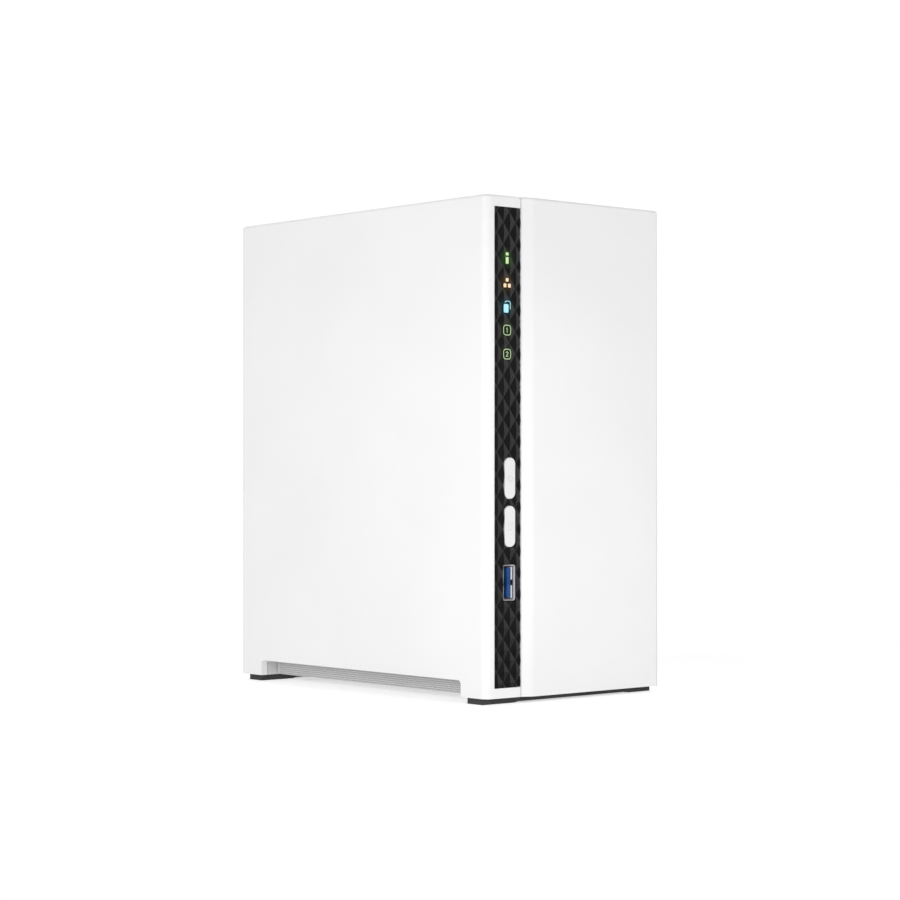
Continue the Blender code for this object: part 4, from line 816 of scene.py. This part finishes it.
def rear_sockets():
    """Contacts, lamps and springs in the network socket and the two USB sockets."""
    bm = bmesh.new()
    for z in spaced(8, LAN_PITCH, LAN_Z):
        add_wire(bm, [(-27.2, 65.2, z), (-27.3, 72.8, z), (-27.8, 74.2, z), (-28.4, 73.6, z),
                      (-30.6, 66.8, z), (-30.9, 65, z)], 0.2, 6)
    piece("network_contacts", bm, GOLD, sharp=60)
    for name, s, looks in (("network_lamp_link", 1, GREEN_LAMP), ("network_lamp_traffic", -1, AMBER_LAMP)):
        bm = bmesh.new()
        z = LAN_Z + s * 5.6
        block(bm, (-26.3, PORT_BACK - 3, z - 1.5), (-25.2, PORT_BACK + 0.08, z + 1.5), 0.2)
        piece(name, bm, looks)
    bm = bmesh.new()
    for x in USB2_TONGUES:
        for z in spaced(4, CONTACT_PITCH, USB2_Z):
            block(bm, (x - 0.06, 65.2, z - 0.5), (x + 0.05, 75.4, z + 0.5), 0.03)
    piece("rear_usb_contacts", bm, GOLD)
    bm = bmesh.new()
    for x in USB2_ROOMS:
        leaf = [(x, PORT_BACK - 0.5), (x + 0.25, PORT_BACK - 0.8), (x + 0.45, PORT_BACK - 1.9),
                (x + 0.3, PORT_BACK - 3.2), (x, PORT_BACK - 5), (x - 0.04, PORT_BACK - 2.5)]
        for s in (-1, 1):
            slab(bm, leaf, "Z", USB2_Z + s * 3 - 1.5, USB2_Z + s * 3 + 1.5)
    piece("rear_usb_springs", bm, STEEL)


def cad_screw(name, axis, wall, radius, shank, ending="_cross", **settings):
    """A detailed screw in place of a CAD one, its head as high above a wall as the CAD head."""
    low, high = mm_box(name)
    base, along = (low + high) / 2, "XYZ".index(axis)
    base[along] = wall + HEAD_GAP
    bm = bmesh.new()
    screw(bm, base, TO_AXIS[axis](0, 0, 1), radius, high[along] - base[along], shank, **settings)
    piece(name + ending, bm, STEEL, replaces=[name], sharp=25)


def screws():
    """All screws that show: those that are CAD nodes are replaced, and the smaller ones are added."""
    for side in ("left", "right"):
        cad_screw("cover_screw_" + side, "Y", PANEL_BACK, 3.6, (1.5, 9), "_knurled", drive=SLOT,
                  reach=0.78, teeth=30, depth=0.5)
    for number in range(1, 5):
        cad_screw(f"fan_screw_{number}", "Y", PANEL_BACK, 3.2, (1.7, 9.5))
    for number in range(1, 5):
        cad_screw(f"drive_screw_{number}", "X", CAGE_RIGHT, 2.6, (1.5, 4.4), reach=0.6)
    loose = (  # name, axis and the way along it, level, places across it, radius, height, shank, reach
        ("drive_1_screws", "X", -1, CAGE_LEFT - HEAD_GAP, (-52.8, 42.4), (64.5, 140.7), 2.6, 0.8, (1.5, 4.4),
         0.6),
        ("cage_screws", "Z", 1, CAGE_FLOOR + HEAD_GAP, (-11, 31), (-60, 51), 2.8, 1.7, (1.3, 1.2), 0.5),
        ("mainboard_screws", "X", 1, BOARD_FACE + 0.05, BOARD_SCREWS_Y, BOARD_SCREWS_Z, 2.7, 1.6,
         (1.3, 1.5), 0.5),
        ("backplane_screws", "Z", 1, BACKPLANE_TOP + 0.05, (-8, 32.5), (-46, 36), 2.4, 1.4, (1.2, 1.4), 0.5),
        ("base_screws", "Z", -1, BASE_UNDER - 0.05, (-26, 26), (-55, 55), 2.6, 1.2, (1.3, 1), 0.5),
    )
    for name, axis, way, level, across, up, radius, height, shank, reach in loose:
        bm = bmesh.new()
        out = TO_AXIS[axis](0, 0, way)
        for u, v in product(across, up):
            screw(bm, TO_AXIS[axis](u, v, level), out, radius, height, shank, reach=reach)
        piece(name, bm, STEEL, sharp=25)


def fan_details():
    """The blank pressed disc on the motor, the rotor's boss, the three twisted wires of the lead, and its
    plug.
    """
    bm = bmesh.new()
    turned(bm, (0, 73.9, FAN_Z), (0, 1, 0),
           [(0, 12.6), (0.14, 12.6), (0.2, 12.4), (0.2, 11.9), (0.16, 11.7), (0.16, 4), (0.2, 3.8),
            (0.2, 0.6)], 40)
    piece("fan_label", bm, PRESSED, sharp=40)
    low = mm_box("fan_rotor")[0].y
    bm = bmesh.new()
    turned(bm, (0, low + 0.05, FAN_Z), (0, -1, 0),
           [(-0.6, 9), (0.12, 9), (0.2, 8.8), (0.2, 7.4), (0.05, 7.2), (0.05, 0.5)], 40)
    piece("fan_boss", bm, DARK, "fan_rotor", sharp=40)
    route = [(-37.4, 47.6, 84), (-36.6, 43.3, 81), (-35.4, 39.8, 73), (-35.4, 39.3, 66),
             (-35.4, 39.3, 62.4)]
    for number, (name, looks) in enumerate(WIRE_COLOURS.items()):
        turn = 2 * math.pi * number / 3
        line = []
        for k in range(33):
            t = k / 32 * (len(route) - 1)
            i = min(int(t), len(route) - 2)
            at = Vector(route[i]).lerp(Vector(route[i + 1]), t - i)
            a = turn + k * 0.55
            line.append(at + 0.62 * Vector((math.cos(a), math.sin(a), 0)))
        bm = bmesh.new()
        add_wire(bm, line, 0.55)
        obj = piece("fan_wire_" + name, bm, looks, sharp=60)
        if number == 0:
            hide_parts("fan_lead")
    bm = bmesh.new()
    block(bm, (BOARD_FACE + 0.05, 36.2, 59), (-33.6, 42.4, 62.6), 0.3)
    block(bm, (BOARD_FACE + 0.05, 35.4, 57), (-35, 43.2, 59.2), 0.2)
    piece("fan_plug", bm, NATURAL)


# ---- inside: boards and drives

SMALL_PARTS, PART_GRID = 90, 1.6


def mainboard_parts():
    """Chips with their legs, coils, cans, small parts and connectors on the mainboard."""
    face = BOARD_FACE + 0.02
    chips = [  # y, z, width, height, thickness and the number of legs on each side
        (-24, 26, 13, 14, 1.1, 0), (-5, 24.5, 9, 13.5, 1, 0), (9, 24.5, 9, 13.5, 1, 0),
        (46.5, 60, 7, 7, 0.9, 7), (-22, 44, 6, 5, 1.4, 4), (24, 72, 5, 4, 1.3, 4),
        (3.5, 50, 18, 18, 1.4, 0), (27, 20.5, 6, 5, 1.4, 4), (-28, 68.5, 7, 7, 0.9, 7)]
    body, legs = bmesh.new(), bmesh.new()
    for y, z, wide, high, thick, count in chips:
        left, top = y - wide / 2, z + high / 2
        block(body, (face + 0.1, left, z - high / 2), (face + thick, y + wide / 2, top), 0.12)
        turned(body, (face + thick - 0.02, left + 1, top - 1), (1, 0, 0),
               [(0, 0.4), (0.05, 0.4), (0.05, 0.2)], 12)
        for at in spaced(count, high / (count + 0.6), z):
            for s in (-1, 1):
                near, far = sorted((y + s * wide / 2, y + s * (wide / 2 + 0.9)))
                block(legs, (face, near, at - 0.2), (face + 0.35, far, at + 0.2), 0.08)
    piece("mainboard_chips", body, CHIP)
    piece("mainboard_chip_legs", legs, STEEL)

    coils = bmesh.new()
    coil_places = [(-11, 71.5), (-1, 71.5), (9.5, 71.5), (51, 33), (51, 41.5)]
    for y, z in coil_places:
        block(coils, (face + 0.1, y - 3.4, z - 3.4), (face + 3.4, y + 3.4, z + 3.4), 0.7)
        turned(coils, (face + 3.3, y, z), (1, 0, 0),
               [(0, 2.6), (0.25, 2.5), (0.25, 2), (0.12, 1.8), (0.12, 0.4)], 20)
    piece("mainboard_coils", coils, CHIP)

    cans = bmesh.new()
    big, little = (3.1, 6.5), (2.5, 5.2)
    can_places = {(50, 22.5): big, (57.5, 22.5): big, (33.5, 56): little, (27.5, 62): little,
                  (-34, 32): little}
    for (y, z), (r, tall) in can_places.items():
        block(cans, (face + 0.05, y - r - 0.2, z - r - 0.2), (face + 0.8, y + r + 0.2, z + r + 0.2), 0.3)
        turned(cans, (face + 0.7, y, z), (1, 0, 0),
               [(0, 0.94 * r), (0.4, r), (0.8, r), (1.05, 0.92 * r), (1.3, r), (tall - 0.3, r),
                (tall, 0.92 * r), (tall, 0.74 * r), (tall - 0.12, 0.7 * r), (tall - 0.12, 0.2 * r)])
    piece("mainboard_cans", cans, SLEEVE, sharp=35)

    # Small parts stay off the chips, the screws, coils and cans, and the large CAD pieces on the board.
    keep = [(y, z, wide / 2 + 1.6, high / 2 + 1.2) for y, z, wide, high, _, _ in chips]
    board_screws = product(BOARD_SCREWS_Y, BOARD_SCREWS_Z)
    keep += [(y, z, 5, 5) for y, z in (*board_screws, *coil_places, *can_places)]
    keep += [(3.5, 50, 19, 17.5), (34, 34, 12.5, 12.5), (64, 46, 9.5, 40),
             (-31.5, 57, 5.5, 10.5), (39.3, 60, 5.5, 4.5), (4, 17, 13, 3)]
    small, ends = bmesh.new(), bmesh.new()
    placed = 0
    while placed < SMALL_PARTS:
        y, z = random.uniform(-38, 55), random.uniform(17.5, 75.5)
        y, z = round(y / PART_GRID) * PART_GRID, round(z / PART_GRID) * PART_GRID
        if any(abs(y - a) < w and abs(z - b) < h for a, b, w, h in keep):
            continue
        keep.append((y, z, 1.7, 1.5))
        placed += 1
        turn = random.random() < 0.5
        u, v = (0.5, 0.28) if turn else (0.28, 0.5)
        block(small, (face, y - u, z - v), (face + 0.45, y + u, z + v), 0.06)
        for s in (-1, 1):
            du, dv = (s * 0.62, 0) if turn else (0, s * 0.62)
            a, b = (0.17, 0.3) if turn else (0.3, 0.17)
            block(ends, (face, y + du - a, z + dv - b), (face + 0.48, y + du + a, z + dv + b), 0.06)
    piece("mainboard_small_parts", small, CERAMIC)
    piece("mainboard_solder_ends", ends, STEEL)

    bm = bmesh.new()
    block(bm, (face, -35, 47.6), (-35.55, -30.2, 66.4), 0.25)
    block(bm, (-35.6, -32.4, 48.6), (-34.2, -30.4, 65.4), 0.25)
    block(bm, (face, -7, 16.4), (-35.9, 15, 18.9), 0.25)
    piece("lead_connectors", bm, NATURAL)
    bm = bmesh.new()
    y, z = 34, 34
    slab(bm, circle(y, z, 11.4, 32), "X", face + 0.05, face + 2.2, [circle(y, z, 10.4, 32)])
    for s in (-1, 1):
        clip = y + s * 10.3
        block(bm, (face + 0.1, clip - 1.2, z - 1.8), (face + 4.5, clip + 1.2, z + 1.8), 0.3)
    piece("cell_holder", bm, DARK)
    bm = bmesh.new()
    for z, inner in ((38, 40), (62, 60)):
        for y in (-16.2, 23.2):
            turned(bm, (face, y, z), (1, 0, 0),
                   [(0, 1.6), (3, 1.6), (3.2, 1.3), (5, 1.3), (5.4, 0.9)], 16)
        add_wire(bm, [(face + 3.6, -16.2, z), (face + 4.2, -14.8, inner)], 0.4, 6)
    piece("heat_sink_pins", bm, STEEL)


def lead_between_boards():
    """The flat lead from the mainboard's lower edge down to the drive backplane."""
    path = [(-36.4, 18.6), (-33, 19.4), (-29, 18.8), (-24, 16.4), (-19, 14.6), (-14.2, 14.2)]
    thick = 0.5
    bm = bmesh.new()
    slab(bm, path + [(x, z - thick) for x, z in reversed(path)], "Y", -5.5, 13.5)
    piece("backplane_lead", bm, RIBBON)
    bm = bmesh.new()
    block(bm, (-14.6, -6.6, BACKPLANE_TOP + 0.02), (-11.6, 14.6, BACKPLANE_TOP + 2.4), 0.25)
    piece("backplane_connector", bm, NATURAL)
    bm = bmesh.new()
    for x in (2, 12, 22):
        turned(bm, (x, 30, BACKPLANE_TOP), (0, 0, 1),
               [(0, 2.9), (0.5, 3.1), (0.8, 2.85), (1.1, 3.1), (5.4, 3.1), (5.8, 2.8), (5.8, 2.2), (5.7, 2.1),
                (5.7, 0.5)])
    piece("backplane_cans", bm, SLEEVE, sharp=35)


def front_board_parts():
    """The lamps behind the light pipes, and small parts on the front board, in the strip's own frame."""
    lamps = bmesh.new()
    for z, _, _ in SIGNS.values():
        block(lamps, (SIGN_X - 0.8, 13.3, z - 0.8), (SIGN_X + 0.8, 13.98, z + 0.8), 0.12)
        turned(lamps, (SIGN_X, 13.32, z), (0, -1, 0), [(0, 0.6), (0.2, 0.55), (0.3, 0.35)], 12)
    piece("front_lamps", lamps, NATURAL, place=FACET)
    small = bmesh.new()
    for k in range(22):
        z = 34 + k * 6.2
        x = 3.4 if k % 2 else -4.2
        block(small, (x - 0.5, 15.6, z - 0.3), (x + 0.5, 16.05, z + 0.3), 0.06)
    block(small, (-3.5, 15.6, 96), (1.5, 16.7, 101), 0.15)
    piece("front_board_parts", small, CHIP, place=FACET)
    bm = bmesh.new()
    block(bm, (-1.6, 15.6, 49), (2.6, 17.2, 65), 0.25)
    piece("front_board_connector", bm, NATURAL, place=FACET)


SATA_PITCH = 1.27
LID_WAIST = 84.8  # the height of the lids' middle pair of screws


def drive_details():
    """Pressed relief and screws on each lid, a blank label, the motor's end and the contacts."""
    for name, way in (("1", 1), ("2", -1)):
        lid_low, lid_high = mm_box(f"drive_{name}_lid")
        face = lid_high.x if way > 0 else lid_low.x
        middle_y, top = (lid_low.y + lid_high.y) / 2, lid_high.z
        bm = bmesh.new()
        turned(bm, (face - way * 0.02, middle_y, top - 51), (way, 0, 0),
               [(0, 46), (0.3, 45.4), (0.3, 43.6), (0.1, 43), (0.1, 15), (0.35, 14.4), (0.35, 12),
                (0.15, 11.6), (0.15, 3)], 64)
        piece(f"drive_{name}_lid_relief", bm, PRESSED, sharp=20)
        bm = bmesh.new()
        for y, z in product((lid_low.y + 4, lid_high.y - 4), (lid_low.z + 4, LID_WAIST, top - 4)):
            screw(bm, (face, y, z), (way, 0, 0), 2.2, 0.8, (0.9, 1))
        piece(f"drive_{name}_lid_screws", bm, STEEL, sharp=25)
        bm = bmesh.new()
        slab(bm, rounded(middle_y, lid_low.z + 22, 80, 28, 2), "X",
             *sorted((face + way * 0.02, face + way * 0.14)))
        piece(f"drive_{name}_label", bm, FOIL)
        tub_low, tub_high = mm_box(f"drive_{name}_tub")
        side = tub_low.x if way > 0 else tub_high.x
        bm = bmesh.new()
        turned(bm, (side + way * 0.1, middle_y, 119.5), (-way, 0, 0),
               [(0, 10.4), (0.2, 10.4), (0.26, 10.1), (0.26, 8.6), (0.12, 8.4), (0.12, 3.6), (0.26, 3.3),
                (0.26, 0.6)], 40)
        piece(f"drive_{name}_motor", bm, PRESSED, sharp=25)
        low, high = mm_box(f"sata_socket_{name}")
        bm = bmesh.new()
        middle = (low.x + high.x) / 2
        for y in (*[high.y - 4 - k * SATA_PITCH for k in range(15)],
                  *[low.y + 4 + k * SATA_PITCH for k in range(7)]):
            block(bm, (middle - 2.06, y - 0.3, high.z - 3.6), (middle - 1.95, y + 0.3, high.z - 0.4), 0.03)
        piece(f"sata_contacts_{name}", bm, GOLD)
        drive_board_parts(name, way)


def drive_board_parts(name, way):
    """Low chips, pads and small parts on a drive's board, which faces the cage's wall."""
    low, high = mm_box(f"drive_{name}_board")
    face = low.x if way > 0 else high.x
    out = -way

    def flat(bm, y, z, wide, tall, thick, edge):
        near, far = sorted((face - out * 0.02, face + out * thick))
        block(bm, (near, y - wide / 2, z - tall / 2), (far, y + wide / 2, z + tall / 2), edge)

    chips, small, pads = bmesh.new(), bmesh.new(), bmesh.new()
    middle = (low.y + high.y) / 2
    for y, z, wide, tall in ((-14, 32, 17, 17), (14, 26, 11, 13), (20, 58, 9, 9), (-28, 64, 8, 6),
                             (-34, 24, 7, 9), (2, 60, 6, 5)):
        flat(chips, middle + y, low.z + z, wide, tall, 0.62, 0.08)
    places = list(product(range(-38, 40, 4), range(8, 76, 5)))
    for y, z in random.sample(places, 46):
        flat(small, middle + y + random.uniform(-0.6, 0.6), low.z + z, 1, 0.55, 0.42, 0.05)
    for k in range(12):
        turned(pads, (face, middle - 30 + 5.4 * k, low.z + 4), (out, 0, 0),
               [(-0.02, 0.8), (0.06, 0.8), (0.06, 0.3)], 12)
    piece(f"drive_{name}_board_chips", chips, CHIP)
    piece(f"drive_{name}_board_small_parts", small, CERAMIC)
    piece(f"drive_{name}_board_pads", pads, GOLD)


def cover_ribs():
    """Stiffening ribs inside the cover, clear of everything that it slides past."""
    high = mm_box("side_cover")[1]
    wall, roof = high.x - COVER_WALL, high.z - COVER_WALL
    bm = bmesh.new()
    for y in (-50, -16, 18, 52):
        block(bm, (wall - 0.75, y - 0.5, 15), (wall + 0.4, y + 0.5, roof - 4), 0.15)
        block(bm, (-18, y - 0.5, roof - 0.75), (wall - 4, y + 0.5, roof + 0.4), 0.15)
    for z in (60, 110, 160):
        block(bm, (wall - 0.6, -62, z - 0.4), (wall + 0.3, 62, z + 0.4), 0.12)
    piece("cover_ribs", bm, WHITE, "cover")


def under_side():
    """A blank label under the base, between its two rows of slots."""
    bm = bmesh.new()
    slab(bm, rounded(0, 0, 9.6, 62, 1.2, 4), "Z", BASE_UNDER - 0.16, BASE_UNDER + 0.02)
    piece("base_label", bm, FOIL)


for make in (studio, floor, dress_cad, signs, buttons, usb_front, intakes, rear_sockets, screws, fan_details,
             mainboard_parts, lead_between_boards, front_board_parts, drive_details, under_side, cover_ribs):
    make()
